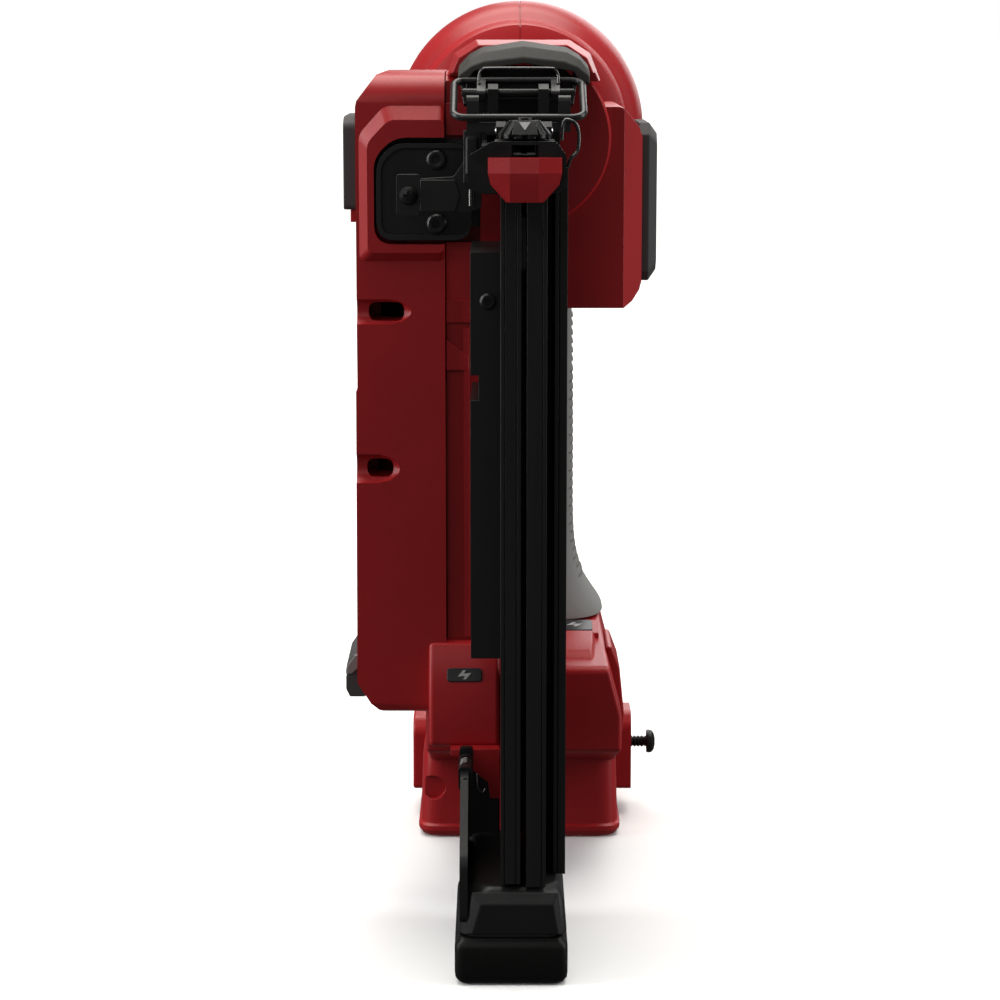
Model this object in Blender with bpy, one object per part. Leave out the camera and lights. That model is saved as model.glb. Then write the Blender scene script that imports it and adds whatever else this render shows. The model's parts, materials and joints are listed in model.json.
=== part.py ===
"""Cordless brad nailer: the separate solids of the tool, in its rest position.

World frame: origin at the centre of the battery foot's underside, +X to the tool's right as seen
from the nose, -Y towards the nose, +Z up.  The blade drives along -Y.  The tool stands on its
battery foot and on the magazine's rubber foot.  Lengths below are millimetres; MM turns them
into metres where meshes are made.
"""
import math

import bmesh
import bpy
from mathutils import Matrix, Vector

MM = 0.001
GAP = 0.3                    # clearance between neighbouring solids
WALL = 2.6                   # housing wall

# Drive line
DRIVE_Z = 267.0              # height of the blade's axis
STROKE = 76.0                # travel of piston and blade
PISTON_FRONT = 32.0
BLADE_TIP = -146.0
BLADE_HALF_WIDTH = 3.0
BLADE_HALF_THICK = 1.0
TOOTH_REACH = 11.0           # how far the rack teeth stand out to the left
BORE_RADIUS = 20.0
CYLINDER_RADIUS = 23.5
HEAD_RADIUS = 46.6
BOSS_RADIUS = 29.8

# Motor and lifter, on one upright axis
MOTOR_X = -27.5
MOTOR_Y = -104.0
LIFTER_PINS = 7
LIFTER_RADIUS = 18.0         # circle of the pins' centres
LIFTER_PIN_RADIUS = 2.0
TOOTH_PITCH = 2 * math.pi * LIFTER_RADIUS / LIFTER_PINS
TOOTH_COUNT = 6

# Housing
COLUMN_LEFT = -55.5
COLUMN_RIGHT = 3.0
COLUMN_FRONT = -134.0
COLUMN_BACK = -74.0
COLUMN_BOTTOM = 71.0
COLUMN_TOP = 289.0
SEAM_X = -26.0               # where the two shells meet on the motor column
COLUMN_SEAM_Z = 209.6        # top of the motor column's right cover
FOOT_SEAM_Z = 83.2           # top of the foot moulding, under the grip
HANDLE_FRONT = -34.0
HANDLE_BACK = 8.0
HANDLE_HALF = 17.0
GRIP_BOTTOM = 83.4
GRIP_TOP = 206.0
FOOT_HALF_X = 38.0
FOOT_HALF_Y = 46.0
FOOT_TOP = 35.0

# Nose
NOSE_FRONT = -215.5
NOSE_LEFT = -13.0
NOSE_RIGHT = 9.0
NOSE_TOP = 268.4             # top of the open channel
NOSE_BOTTOM = 254.0
DOOR_FRONT = -195.0
DOOR_BACK = -174.2
DOOR_AXIS = (0.0, -194.0, 272.3)
LEVER_AXIS = (0.0, -170.0, 283.2)
BAIL_AXIS = (0.0, -166.0, 287.0)
BAIL_FRONT = (-188.9, 276.0)
LATCH_X = -1.6               # the latch, its bail and the hooks sit a little left of the blade
BAIL_HALF = 20.3
BAIL_WIRE = 1.0
CONTACT_FRONT = -228.0
WHEEL_CENTRE = (0.0, -218.0)
WHEEL_RADIUS = 8.0

# Magazine
SLOT_HALF = 0.9              # the slot that the brads stand in
STRIP_HALF = 7.2
MAGAZINE_FRONT = -204.0
MAGAZINE_BACK = -138.5
RAIL_TOP = 253.5
RAIL_BOTTOM = 33.0
COVER_BOTTOM = 32.0
CAP_BOTTOM = 15.7
LATCH_AXIS = (-18.8, -160.0, 60.0)

# Trigger and foot
TRIGGER_AXIS = (0.0, -30.0, 210.0)
HOOK_SCREW = (-4.0, 26.5)    # Y and Z of the belt-hook screw

FINISHES = {
    # name: (colour, roughness, metallic)
    "red_plastic": ((0.33, 0.012, 0.014, 1.0), 0.42, 0.0),
    "black_plastic": ((0.018, 0.018, 0.018, 1.0), 0.5, 0.0),
    "grip_rubber": ((0.075, 0.075, 0.07, 1.0), 0.8, 0.0),
    "black_rubber": ((0.02, 0.02, 0.019, 1.0), 0.75, 0.0),
    "black_metal": ((0.022, 0.022, 0.022, 1.0), 0.4, 0.6),
    "steel": ((0.55, 0.55, 0.54, 1.0), 0.3, 1.0),
    "dark_steel": ((0.09, 0.09, 0.09, 1.0), 0.35, 1.0),
    "aluminium": ((0.62, 0.62, 0.62, 1.0), 0.4, 1.0),
    "copper": ((0.6, 0.25, 0.12, 1.0), 0.4, 1.0),
    "lens": ((0.5, 0.52, 0.5, 1.0), 0.1, 0.0),
    "board_green": ((0.02, 0.12, 0.05, 1.0), 0.5, 0.0),
}


# ---------------------------------------------------------------- mesh helpers

def clear_scene():
    for item in list(bpy.data.objects):
        bpy.data.objects.remove(item, do_unlink=True)


def material(finish):
    found = bpy.data.materials.get(finish)
    if found:
        return found
    colour, roughness, metallic = FINISHES[finish]
    made = bpy.data.materials.new(finish)
    made.use_nodes = True
    shader = made.node_tree.nodes["Principled BSDF"]
    shader.inputs["Base Color"].default_value = colour
    shader.inputs["Roughness"].default_value = roughness
    shader.inputs["Metallic"].default_value = metallic
    return made


def from_bmesh(bm):
    bmesh.ops.recalc_face_normals(bm, faces=bm.faces)
    mesh = bpy.data.meshes.new("solid")
    bm.to_mesh(mesh)
    bm.free()
    solid = bpy.data.objects.new("solid", mesh)
    bpy.context.scene.collection.objects.link(solid)
    return solid


def rings_to_solid(rings, caps=True, closed=False):
    """Skin a row of equal rings of points; millimetres in, metres out."""
    bm = bmesh.new()
    rows = [[bm.verts.new(Vector(point) * MM) for point in ring] for ring in rings]
    count = len(rows[0])
    pairs = list(zip(rows, rows[1:]))
    if closed:
        pairs.append((rows[-1], rows[0]))
    for near, far in pairs:
        for i in range(count):
            j = (i + 1) % count
            bm.faces.new((near[i], near[j], far[j], far[i]))
    if caps and not closed:
        bm.faces.new(rows[0])
        bm.faces.new(rows[-1])
    return from_bmesh(bm)


def place(axis, u, v, w):
    """A point with w along the named axis and u, v on the other two in X, Y, Z order."""
    if axis == "X":
        return (w, u, v)
    if axis == "Y":
        return (u, w, v)
    return (u, v, w)


def prism(outline, axis, low, high):
    """The outline, two coordinates in X, Y, Z order, extruded along the axis."""
    return rings_to_solid([[place(axis, u, v, w) for u, v in outline] for w in (low, high)])


def block(low, high, rounding=0.0, axis=None):
    """A box between two corners, its edges rounded off; axis keeps that to edges along it."""
    solid = prism([(low[0], low[1]), (high[0], low[1]), (high[0], high[1]), (low[0], high[1])],
                  "Z", low[2], high[2])
    if rounding:
        bm = bmesh.new()
        bm.from_mesh(solid.data)
        edges = list(bm.edges)
        if axis:
            way = Vector(place(axis, 0, 0, 1))
            edges = [e for e in edges
                     if abs((e.verts[1].co - e.verts[0].co).normalized().dot(way)) > 0.9]
        bmesh.ops.bevel(bm, geom=edges, offset=rounding * MM, segments=3, profile=0.5,
                        affect="EDGES", clamp_overlap=True)
        bm.to_mesh(solid.data)
        bm.free()
    return solid


def circle(radius, centre=(0.0, 0.0), sides=24):
    step = 2 * math.pi / sides
    return [(centre[0] + radius * math.cos(i * step), centre[1] + radius * math.sin(i * step))
            for i in range(sides)]


def cylinder(axis, centre, radius, low, high, sides=24):
    return prism(circle(radius, centre, sides), axis, low, high)


def revolve(profile, axis, centre, sides=32):
    """Turn a closed profile of (radius, height) round an axis; radius 0 makes a pole."""
    bm = bmesh.new()
    rows = []
    for radius, height in profile:
        if radius == 0:
            rows.append([bm.verts.new(Vector(place(axis, *centre, height)) * MM)])
        else:
            rows.append([bm.verts.new(Vector(place(axis, u, v, height)) * MM)
                         for u, v in circle(radius, centre, sides)])
    for near, far in zip(rows, rows[1:] + rows[:1]):
        if len(near) == 1 and len(far) == 1:
            continue
        for i in range(sides):
            j = (i + 1) % sides
            if len(near) == 1:
                bm.faces.new((near[0], far[i], far[j]))
            elif len(far) == 1:
                bm.faces.new((near[i], near[j], far[0]))
            else:
                bm.faces.new((near[i], near[j], far[j], far[i]))
    return from_bmesh(bm)


def sweep(path, radius, closed=False, sides=8):
    """A round wire along a path of points, its rings carried round without twist."""
    points = [Vector(p) for p in path]
    last = len(points) - 1
    rings = []
    side = None
    for i, point in enumerate(points):
        before = points[i - 1] if i > 0 or closed else points[i]
        after = points[(i + 1) % len(points)] if i < last or closed else points[i]
        way = (after - before).normalized()
        if side is None:
            side = way.orthogonal().normalized()
        side = (side - way * side.dot(way)).normalized()
        other = way.cross(side)
        rings.append([point + side * u + other * v for u, v in circle(radius, sides=sides)])
    return rings_to_solid(rings, closed=closed)


def rounded_rectangle(half_x, front, back, radius, steps=4):
    """Outline in X and Y of a rectangle with round corners, counter-clockwise."""
    outline = []
    corners = ((half_x, back, 0), (-half_x, back, 1), (-half_x, front, 2), (half_x, front, 3))
    for x, y, quarter in corners:
        centre_x = x - math.copysign(radius, x)
        centre_y = y - radius if y == back else y + radius
        for i in range(steps + 1):
            angle = (quarter + i / steps) * math.pi / 2
            outline.append((centre_x + radius * math.cos(angle),
                            centre_y + radius * math.sin(angle)))
    return outline


def helix(axis, centre, radius, low, high, turns, per_turn=10):
    points = []
    for i in range(turns * per_turn + 1):
        angle = 2 * math.pi * i / per_turn
        along = low + (high - low) * i / (turns * per_turn)
        points.append(place(axis, centre[0] + radius * math.cos(angle),
                            centre[1] + radius * math.sin(angle), along))
    return points


def combine(target, tool, operation):
    modifier = target.modifiers.new("combine", "BOOLEAN")
    modifier.operation = operation
    modifier.solver = "EXACT"
    modifier.object = tool
    depsgraph = bpy.context.evaluated_depsgraph_get()
    target_mesh = bpy.data.meshes.new_from_object(target.evaluated_get(depsgraph))
    target.modifiers.clear()
    target.data = target_mesh
    bpy.data.objects.remove(tool, do_unlink=True)
    return target


def fuse(target, *tools):
    for tool in tools:
        combine(target, tool, "UNION")
    return target


def cut(target, *tools):
    for tool in tools:
        combine(target, tool, "DIFFERENCE")
    return target


def keep(target, tool):
    return combine(target, tool, "INTERSECT")


def finish(solid, name, look, origin=(0.0, 0.0, 0.0)):
    """Name the solid, give it its material and put its origin where it turns or slides."""
    solid.name = name
    solid.data.name = name
    solid.data.materials.clear()
    solid.data.materials.append(material(look))
    shift = Vector(origin) * MM
    solid.data.transform(Matrix.Translation(-shift))
    solid.location = shift
    solid.data.shade_smooth()
    solid.data.set_sharp_from_angle(angle=math.radians(35))
    return solid


# ---------------------------------------------------------------- housing shells

def head_volume():
    profile = [(0, 48), (43.5, 48), (HEAD_RADIUS, 40), (HEAD_RADIUS, -12), (44.5, -22),
               (39.5, -24), (39, -34), (30.6, -38), (BOSS_RADIUS, -114), (0, -114)]
    return revolve(profile, "Y", (0, DRIVE_Z), 48)


def head_hollow():
    profile = [(0, 49), (41, 49), (43.8, 38), (43.8, -12), (41.8, -19), (36.8, -21.5),
               (36.4, -31.5), (27.2, -35), (27.2, -78), (0, -78)]
    return revolve(profile, "Y", (0, DRIVE_Z), 48)


def column_outline(inset=0.0):
    """Outline (X, Z) of the motor column, chamfered at its outer corners."""
    left, right = COLUMN_LEFT + inset, COLUMN_RIGHT - inset
    low, high = COLUMN_BOTTOM + inset, COLUMN_TOP - inset
    return [(left, low + 11), (left + 4.5, low + 3.8), (left + 14, low), (right, low),
            (right, high), (left + 9, high), (left, high - 11)]


def column_volume():
    return prism(column_outline(), "Y", COLUMN_FRONT, COLUMN_BACK)


def right_box_volume():
    seen_from_nose = [(-1, 210), (36, 210), (41, 216), (41, 268), (32, 277.5), (-1, 277.5)]
    seen_from_above = [(-2, -124), (34.5, -124), (41.5, -111), (41.5, -58), (-2, -58)]
    return keep(prism(seen_from_nose, "Y", -125, -57), prism(seen_from_above, "Z", 209, 279))


def bridge_volume(inset=0.0):
    """The bridge from the handle's base forward, its sides leaning in towards the top."""
    seen_from_side = [(-94 + inset, 44 + inset), (-94 + inset, 77 - inset), (-29, 83 - inset),
                      (18 - inset, 83 - inset), (18 - inset, 30), (-40, 30)]
    seen_from_nose = [(-34 + inset, 25), (36.4 - inset, 25), (36.4 - inset, 62),
                      (30 - inset, 84), (-29 + inset, 84), (-34 + inset, 62)]
    return keep(prism(seen_from_side, "X", -40, 40), prism(seen_from_nose, "Y", -100, 30))


def outer_volume():
    body = head_volume()
    fuse(body, column_volume(), right_box_volume())
    fuse(body, block((-20, -38, GRIP_TOP + GAP), (20, 12, 240), 5, "Z"))
    fuse(body, block((-HANDLE_HALF, HANDLE_FRONT, 30), (HANDLE_HALF, HANDLE_BACK, 236), 6, "Z"))
    fuse(body, block((-FOOT_HALF_X, -FOOT_HALF_Y, 0), (FOOT_HALF_X, FOOT_HALF_Y, FOOT_TOP),
                     5, "Z"))
    fuse(body, bridge_volume())
    front_block = [(-137.6, 61.5), (-137.6, 82), (-134.9, 97), (-132, 97), (-132, 90), (-74, 90),
                   (-74, 60), (-92, 50), (-120, 57)]
    fuse(body, prism(front_block, "X", -32, -7))
    fuse(body, prism([(-24, 62), (-24, 58), (-11.4, 46), (-7.6, 46), (-7.6, 62)], "Y", -141.6, -136))
    fuse(body, block((-41.4, -16, 10), (43.8, 8, 39), 2))
    return body


def hollow_volumes():
    yield head_hollow()
    yield prism(column_outline(WALL), "Y", -131, -77)
    yield block((-44, -131, 237.4), (13, -77, 286.4))
    yield prism([(12, 213), (35, 213), (38.2, 217), (38.2, 266.5), (31, 274.6), (12, 274.6)],
                "Y", -110, -66)
    yield block((-14, -31, 20), (14, 5, 238))
    yield block((-34.5, -42.5, 14), (34.5, 42.5, 32))
    yield cut(bridge_volume(WALL), block((-40, -95, 67.6), (40, -71, 90)))
    # battery rails
    yield block((-25, -38, -1), (25, 47, 11))
    yield block((-29, -38, 5), (29, 47, 11))
    # front openings for the gear case cover and the nosepiece
    yield block((-49.6, -136, 232.4), (-14, -129, 267.6))
    yield block((-15.6, -136, 249), (14, -129, 286.4))
    yield block((2, -116, 237.4), (13, -108, 286.4))
    # trigger slot and the seats of its pin
    yield block((-8.5, -41, 182), (8.5, -30, 217))
    yield cylinder("X", TRIGGER_AXIS[1:], 1.8, -11.3, 11.3, 16)
    # seats of the light, the mode button, the belt hook screw and the two case screws
    yield cylinder("X", HOOK_SCREW, 2.2, 36, 45, 20)
    yield light_shape(GAP)
    yield button_shape(GAP)
    for height in CASE_SCREW_HEIGHTS:
        yield cylinder("Y", (CASE_SCREW_X, height), 4.2, -135, -132.2, 20)
        yield cylinder("Y", (CASE_SCREW_X, height), 1.8, -133, -129, 16)


def left_region(clearance):
    """Everything that belongs to the left shell, drawn back from the seam by the clearance."""
    region = block((-80, -160, -5), (-clearance, 70, 330))
    seam = SEAM_X - clearance
    return cut(region, block((seam, -162, 40), (5, COLUMN_BACK + 8 + clearance, 300)))


def foot_region(clearance):
    """The foot, the bridge and the front block, clear of the motor column behind the block."""
    low_end = COLUMN_FRONT - clearance
    region = block((-60, -170, -5), (60, 70, FOOT_SEAM_Z - clearance))
    fuse(region, block((-34, -150, 80), (-5, low_end, 100)))
    column = prism(column_outline(-clearance), "Y", low_end, COLUMN_BACK + clearance)
    return cut(region, column)


def column_region(clearance):
    """The right side of the motor column, below the round body."""
    top = COLUMN_SEAM_Z - clearance
    return block((SEAM_X - 5, -162, 60), (5, COLUMN_BACK + 2, top))


def copy_of(source):
    made = source.copy()
    made.data = source.data.copy()
    bpy.context.scene.collection.objects.link(made)
    return made


def housing_shells():
    """Two shells, the motor column's right cover and the foot, all from one outer volume."""
    whole = outer_volume()
    for hollow in hollow_volumes():
        cut(whole, hollow)
    half = GAP / 2
    foot = keep(copy_of(whole), foot_region(half))
    cut(whole, foot_region(-half))
    left = keep(copy_of(whole), left_region(half))
    cut(whole, left_region(-half))
    column = keep(copy_of(whole), column_region(half))
    cut(whole, column_region(-half))
    finish(foot, "foot_housing", "red_plastic")
    finish(left, "housing_left", "red_plastic")
    finish(column, "column_cover", "red_plastic")
    finish(whole, "housing_right", "red_plastic")


def head_cap():
    profile = [(0, 48.4), (43.4, 48.4), (42.6, 54), (38, 59), (30, 60), (0, 60)]
    finish(revolve(profile, "Y", (0, DRIVE_Z), 48), "head_cap", "red_plastic")


def grip():
    sections = [(GRIP_BOTTOM, 31, -42, 18), (94, 25, -40, 14.5), (108, 21.5, -38.6, 12),
                (130, 20, -38, 11), (GRIP_TOP, 20, -38, 11)]
    rings = []
    for height, half, front, back in sections:
        rings.append([(x, y, height) for x, y in rounded_rectangle(half, front, back, 7)])
    sleeve = rings_to_solid(rings)
    cut(sleeve, block((-HANDLE_HALF - GAP, HANDLE_FRONT - GAP, 70),
                      (HANDLE_HALF + GAP, HANDLE_BACK + GAP, 230), 6, "Z"))
    cut(sleeve, block((-9.5, -50, 180), (9.5, -30, 220)))
    finish(sleeve, "grip", "grip_rubber")


def side_bumpers():
    right = prism([(41.3, 214), (44.5, 214), (46.5, 218), (46.5, 264), (44, 271), (41.3, 271)],
                  "Y", -108, -66)
    finish(right, "bumper_right", "black_rubber")
    left = prism([(-55.8, 241), (-59.5, 241), (-60.5, 243), (-60.5, 270), (-58.5, 273),
                  (-55.8, 273)], "Y", -128, -82)
    finish(left, "bumper_left_upper", "black_rubber")
    low = prism([(-55.8, 82.5), (-56.6, 75), (-59.6, 75), (-60.8, 77.5), (-60.8, 87),
                 (-58.8, 90), (-55.8, 90)], "Y", -126, -92)
    finish(low, "bumper_left_lower", "black_rubber")


def terminal_block():
    solid = block((-14, -30, 0), (14, 24, 10.7), 1.5, "Z")
    for x in (-8, 0, 8):
        cut(solid, block((x - 1, -10, 3), (x + 1, 26, 8)))
    finish(solid, "battery_terminal_block", "black_plastic")


def light_shape(margin=0.0):
    """The lens on the sloping top of the bridge, right of the handle."""
    depth = 6 if margin else 2
    lens = block((16 - margin, -57 - margin, -depth), (29 + margin, -45 + margin, 2 + margin))
    lens.data.transform(Matrix.Translation((0, 0, 0.0809)))
    return lens


def button_shape(margin=0.0):
    """The mode button in the sloping face of the block in front of the motor column."""
    low = (-25.5 - margin, -137.5 - margin, 83.6 - margin)
    return block(low, (-13.5 + margin, -129.4 + 2 * margin, 87.8 + margin))


def foot_parts():
    finish(light_shape(), "light_lens", "lens")
    finish(button_shape(), "mode_button", "black_plastic", (-19.5, -133.5, 85.7))
    board = block((-26, -36, 17), (26, 36, 18.8))
    fuse(board, block((-18, -20, 18), (18, 12, 26)), block((-10, 18, 18), (10, 32, 24)))
    finish(board, "controller_board", "board_green")
    y, z = HOOK_SCREW
    profile = [(0, 37), (1.9, 37), (1.9, 50.4), (3.6, 50.4), (3.4, 52.6), (2.2, 53.7), (0, 53.7)]
    screw = revolve(profile, "X", (y, z), 20)
    finish(screw, "belt_hook_screw", "dark_steel")


# ---------------------------------------------------------------- drive

def cylinder_parts():
    centre = (0, DRIVE_Z)
    barrel = [(12.3, -65), (CYLINDER_RADIUS, -65), (CYLINDER_RADIUS, -16), (39.8, -16),
              (39.8, -12.3), (CYLINDER_RADIUS, -12.3), (CYLINDER_RADIUS, 41), (BORE_RADIUS, 41),
              (BORE_RADIUS, -62), (12.3, -62)]
    finish(revolve(barrel, "Y", centre, 36), "cylinder", "aluminium")
    tank = [(37, -12), (40, -12), (40, 47), (0, 47), (0, 44), (37, 44)]
    finish(revolve(tank, "Y", centre, 36), "air_tank", "aluminium")
    ring = [(12.3, -61.6), (19.6, -61.6), (19.6, -50), (18, -46), (12.3, -46)]
    finish(revolve(ring, "Y", centre), "cylinder_bumper", "black_rubber")


def driver_parts():
    centre = (0, DRIVE_Z)
    front = PISTON_FRONT
    profile = [(0, front), (19.6, front), (19.6, front + 2), (17.4, front + 2),
               (17.4, front + 6), (19.6, front + 6), (19.6, front + 8.4), (0, front + 8.4)]
    origin = (0, front, DRIVE_Z)
    finish(revolve(profile, "Y", centre), "piston", "aluminium", origin)
    seal = [(17.7, front + 2.3), (19.7, front + 2.3), (19.7, front + 5.7), (17.7, front + 5.7)]
    finish(revolve(seal, "Y", centre), "piston_seal", "black_rubber", origin)
    low, high = DRIVE_Z - BLADE_HALF_THICK, DRIVE_Z + BLADE_HALF_THICK
    half = BLADE_HALF_WIDTH
    outline = [(half, BLADE_TIP), (half, front - GAP), (-half, front - GAP)]
    for k in reversed(range(-1, TOOTH_COUNT - 1)):
        middle = MOTOR_Y + (k + 0.5) * TOOTH_PITCH
        outline += [(-half, middle + 2.2), (-TOOTH_REACH, middle + 1.2),
                    (-TOOTH_REACH, middle - 1.2), (-half, middle - 2.2)]
    outline.append((-half, BLADE_TIP))
    finish(prism(outline, "Z", low, high), "driver_blade", "steel", origin)


def lifter_parts():
    centre = (MOTOR_X, MOTOR_Y)
    rim = LIFTER_RADIUS + LIFTER_PIN_RADIUS + 0.5
    wheel = revolve([(5.1, 257.5), (rim, 257.5), (rim, 261.5), (8, 261.5), (8, 272.5),
                     (rim, 272.5), (rim, 276.5), (5.1, 276.5)], "Z", centre, 28)
    for i in range(LIFTER_PINS):
        angle = 2 * math.pi * i / LIFTER_PINS
        pin = (MOTOR_X + LIFTER_RADIUS * math.cos(angle),
               MOTOR_Y + LIFTER_RADIUS * math.sin(angle))
        fuse(wheel, cylinder("Z", pin, LIFTER_PIN_RADIUS, 260, 274, 12))
    origin = (*centre, 238)
    finish(wheel, "lifter_wheel", "steel", origin)
    finish(cylinder("Z", centre, 4.8, 238.2, 284.5, 20), "lifter_shaft", "steel", origin)
    for name, low, high in (("lifter_bearing_lower", 240, 247), ("lifter_bearing_upper", 279, 284)):
        ring = [(5.1, low), (9.0, low), (9.0, high), (5.1, high)]
        finish(revolve(ring, "Z", centre, 28), name, "steel")


def gear_case():
    case = prism([(-50.5, 238), (12.5, 238), (12.5, 286), (-42, 286), (-50.5, 275.5)],
                 "Y", -130.4, -77.6)
    centre = (MOTOR_X, MOTOR_Y)
    cut(case, cylinder("Z", centre, 21.6, 256.6, 277.4, 28))
    cut(case, cylinder("Z", centre, 9.4, 230, 290, 28))
    cut(case, block((-12, -140, 262), (4.2, -70, 272)))
    finish(case, "gear_case", "aluminium")
    outline = [(-18, 234.4), (-18, 265.6), (-40, 265.6), (-46, 262.5), (-48.6, 256), (-48.6, 244),
               (-46, 237.5), (-40, 234.4)]
    cover = prism(outline, "Y", -141, -130.8)
    fuse(cover, cylinder("Y", (-25, 261), 3.2, -142.6, -136, 20),
         cylinder("Y", (-25, 239.5), 3.2, -142.6, -136, 20))
    finish(cover, "gear_case_cover", "black_metal")


def motor_parts():
    centre = (MOTOR_X, MOTOR_Y)
    box = [(0, 194), (22.5, 194), (22.5, 236.5), (12, 237.6), (0, 237.6)]
    gearbox = cut(revolve(box, "Z", centre, 28), cylinder("Z", centre, 3.6, 190, 212, 16))
    finish(gearbox, "gearbox", "black_metal")
    stator = [(15, 118), (24, 118), (24, 186), (15, 186)]
    finish(revolve(stator, "Z", centre, 28), "motor_stator", "copper")
    rotor = [(0, 96), (3, 96), (3, 122), (14, 122), (14, 182), (3, 182), (3, 208), (0, 208)]
    origin = (*centre, 150)
    finish(revolve(rotor, "Z", centre, 28), "motor_rotor", "steel", origin)
    fan = [(3.3, 104), (8, 104), (8, 108), (23, 108), (23, 111), (3.3, 111)]
    fan_wheel = revolve(fan, "Z", centre, 28)
    for i in range(9):
        blade = block((6.5, -0.8, 104.5), (21.5, 0.8, 109))
        turn = Matrix.Rotation(2 * math.pi * i / 9, 4, "Z")
        blade.data.transform(Matrix.Translation(Vector((MOTOR_X, MOTOR_Y, 0)) * MM) @ turn)
        fuse(fan_wheel, blade)
    finish(fan_wheel, "motor_fan", "black_plastic", origin)
    ring = [(3.3, 96), (8, 96), (8, 102), (3.3, 102)]
    finish(revolve(ring, "Z", centre, 28), "motor_bearing", "steel")


# ---------------------------------------------------------------- nose

def nosepiece():
    body = block((NOSE_LEFT, NOSE_FRONT, NOSE_BOTTOM), (NOSE_RIGHT, -134, NOSE_TOP))
    fuse(body, block((NOSE_LEFT, -173.8, 256), (NOSE_RIGHT, -134, 276)))
    fuse(body, block((-15, -134.5, 251), (12.4, -130.8, 285.6)))
    for side in (-1, 1):
        near, far = sorted((LATCH_X + side * 6.4, LATCH_X + side * 9.6))
        fuse(body, block((near, -173.4, 274), (far, -167.6, 285.8)))
        near, far = sorted((side * 5.6, side * 8.6))
        fuse(body, block((near, -197, 262), (far, -191.2, 275)))
    channel = BLADE_HALF_WIDTH + 0.4
    cut(body, block((-channel, -230, 265.6), (channel, -120, 270)))
    cut(body, block((-TOOTH_REACH - 0.5, -191, 265.6), (0, -120, 270)))
    cut(body, block((-SLOT_HALF, -206, 250), (SLOT_HALF, -148, 267)))
    cut(body, cylinder("X", LEVER_AXIS[1:], 1.7, -20, 20, 16))
    cut(body, cylinder("X", DOOR_AXIS[1:], 1.5, -20, 20, 16))
    finish(body, "nosepiece", "dark_steel")


def jam_door():
    door = block((-5.2, DOOR_FRONT + 1.6, 268.8), (5.2, DOOR_BACK, 272))
    fuse(door, cylinder("X", DOOR_AXIS[1:], 2.6, -5.2, 5.2, 20))
    fuse(door, block((LATCH_X - 16.2, -187, 271.5), (LATCH_X + 16.2, -183.5, 274.4)))
    for side in (-1, 1):
        near, far = sorted((LATCH_X + side * 12.4, LATCH_X + side * 16.2))
        fuse(door, block((near, -187, 273), (far, -183.5, 281)))
    cut(door, cylinder("X", DOOR_AXIS[1:], 1.5, -20, 20, 16))
    finish(door, "jam_door", "black_metal", DOOR_AXIS)
    finish(cylinder("X", DOOR_AXIS[1:], 1.2, -8.6, 8.6, 16), "jam_door_pin", "steel")


def jam_latch():
    roof = [(-20.5, 289.6), (-20.5, 291.5), (-16, 295.5), (0, 299), (16, 295.5), (20.5, 291.5),
            (20.5, 289.6), (18.2, 289.6), (18, 290.8), (15, 293), (0, 296.4), (-15, 293),
            (-18, 290.8), (-18.2, 289.6)]
    lever = prism(roof, "Y", -165, -146)
    for side in (-1, 1):
        near, far = sorted((LATCH_X + side * 10.4, LATCH_X + side * 13.1))
        cheek = prism([(-173.2, 283), (-171.6, 280.4), (-168, 280.4), (-158, 289), (-148, 293),
                       (-148, 294.5), (-164, 294.5), (-168, 290)], "X", near, far)
        fuse(lever, cheek)
    cut(lever, cylinder("X", LEVER_AXIS[1:], 1.7, -20, 20, 16))
    cut(lever, cylinder("X", BAIL_AXIS[1:], 1.4, -15, 15, 16))
    finish(lever, "jam_latch_lever", "grip_rubber", LEVER_AXIS)
    finish(cylinder("X", LEVER_AXIS[1:], 1.4, LATCH_X - 17.9, LATCH_X + 17.9, 16), "latch_pin", "steel")


def bail_path():
    """The bail's loop: across at its pivot, forward down both sides and across the front."""
    corner = 3.0
    length = math.dist(BAIL_AXIS[1:], BAIL_FRONT)
    ahead = Vector((0, BAIL_FRONT[0] - BAIL_AXIS[1], BAIL_FRONT[1] - BAIL_AXIS[2])) / length
    outline = []
    for x, s, quarter in ((BAIL_HALF, 0, 3), (BAIL_HALF, length, 0), (-BAIL_HALF, length, 1),
                          (-BAIL_HALF, 0, 2)):
        centre_x = x - math.copysign(corner, x)
        centre_s = s + corner if s == 0 else s - corner
        for i in range(5):
            angle = (quarter + i / 4) * math.pi / 2
            outline.append((centre_x + corner * math.cos(angle),
                            centre_s + corner * math.sin(angle)))
    return [Vector((LATCH_X + x, BAIL_AXIS[1], BAIL_AXIS[2])) + ahead * s for x, s in outline]


def latch_bail():
    finish(sweep(bail_path(), BAIL_WIRE, closed=True), "latch_bail", "steel", BAIL_AXIS)


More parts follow.
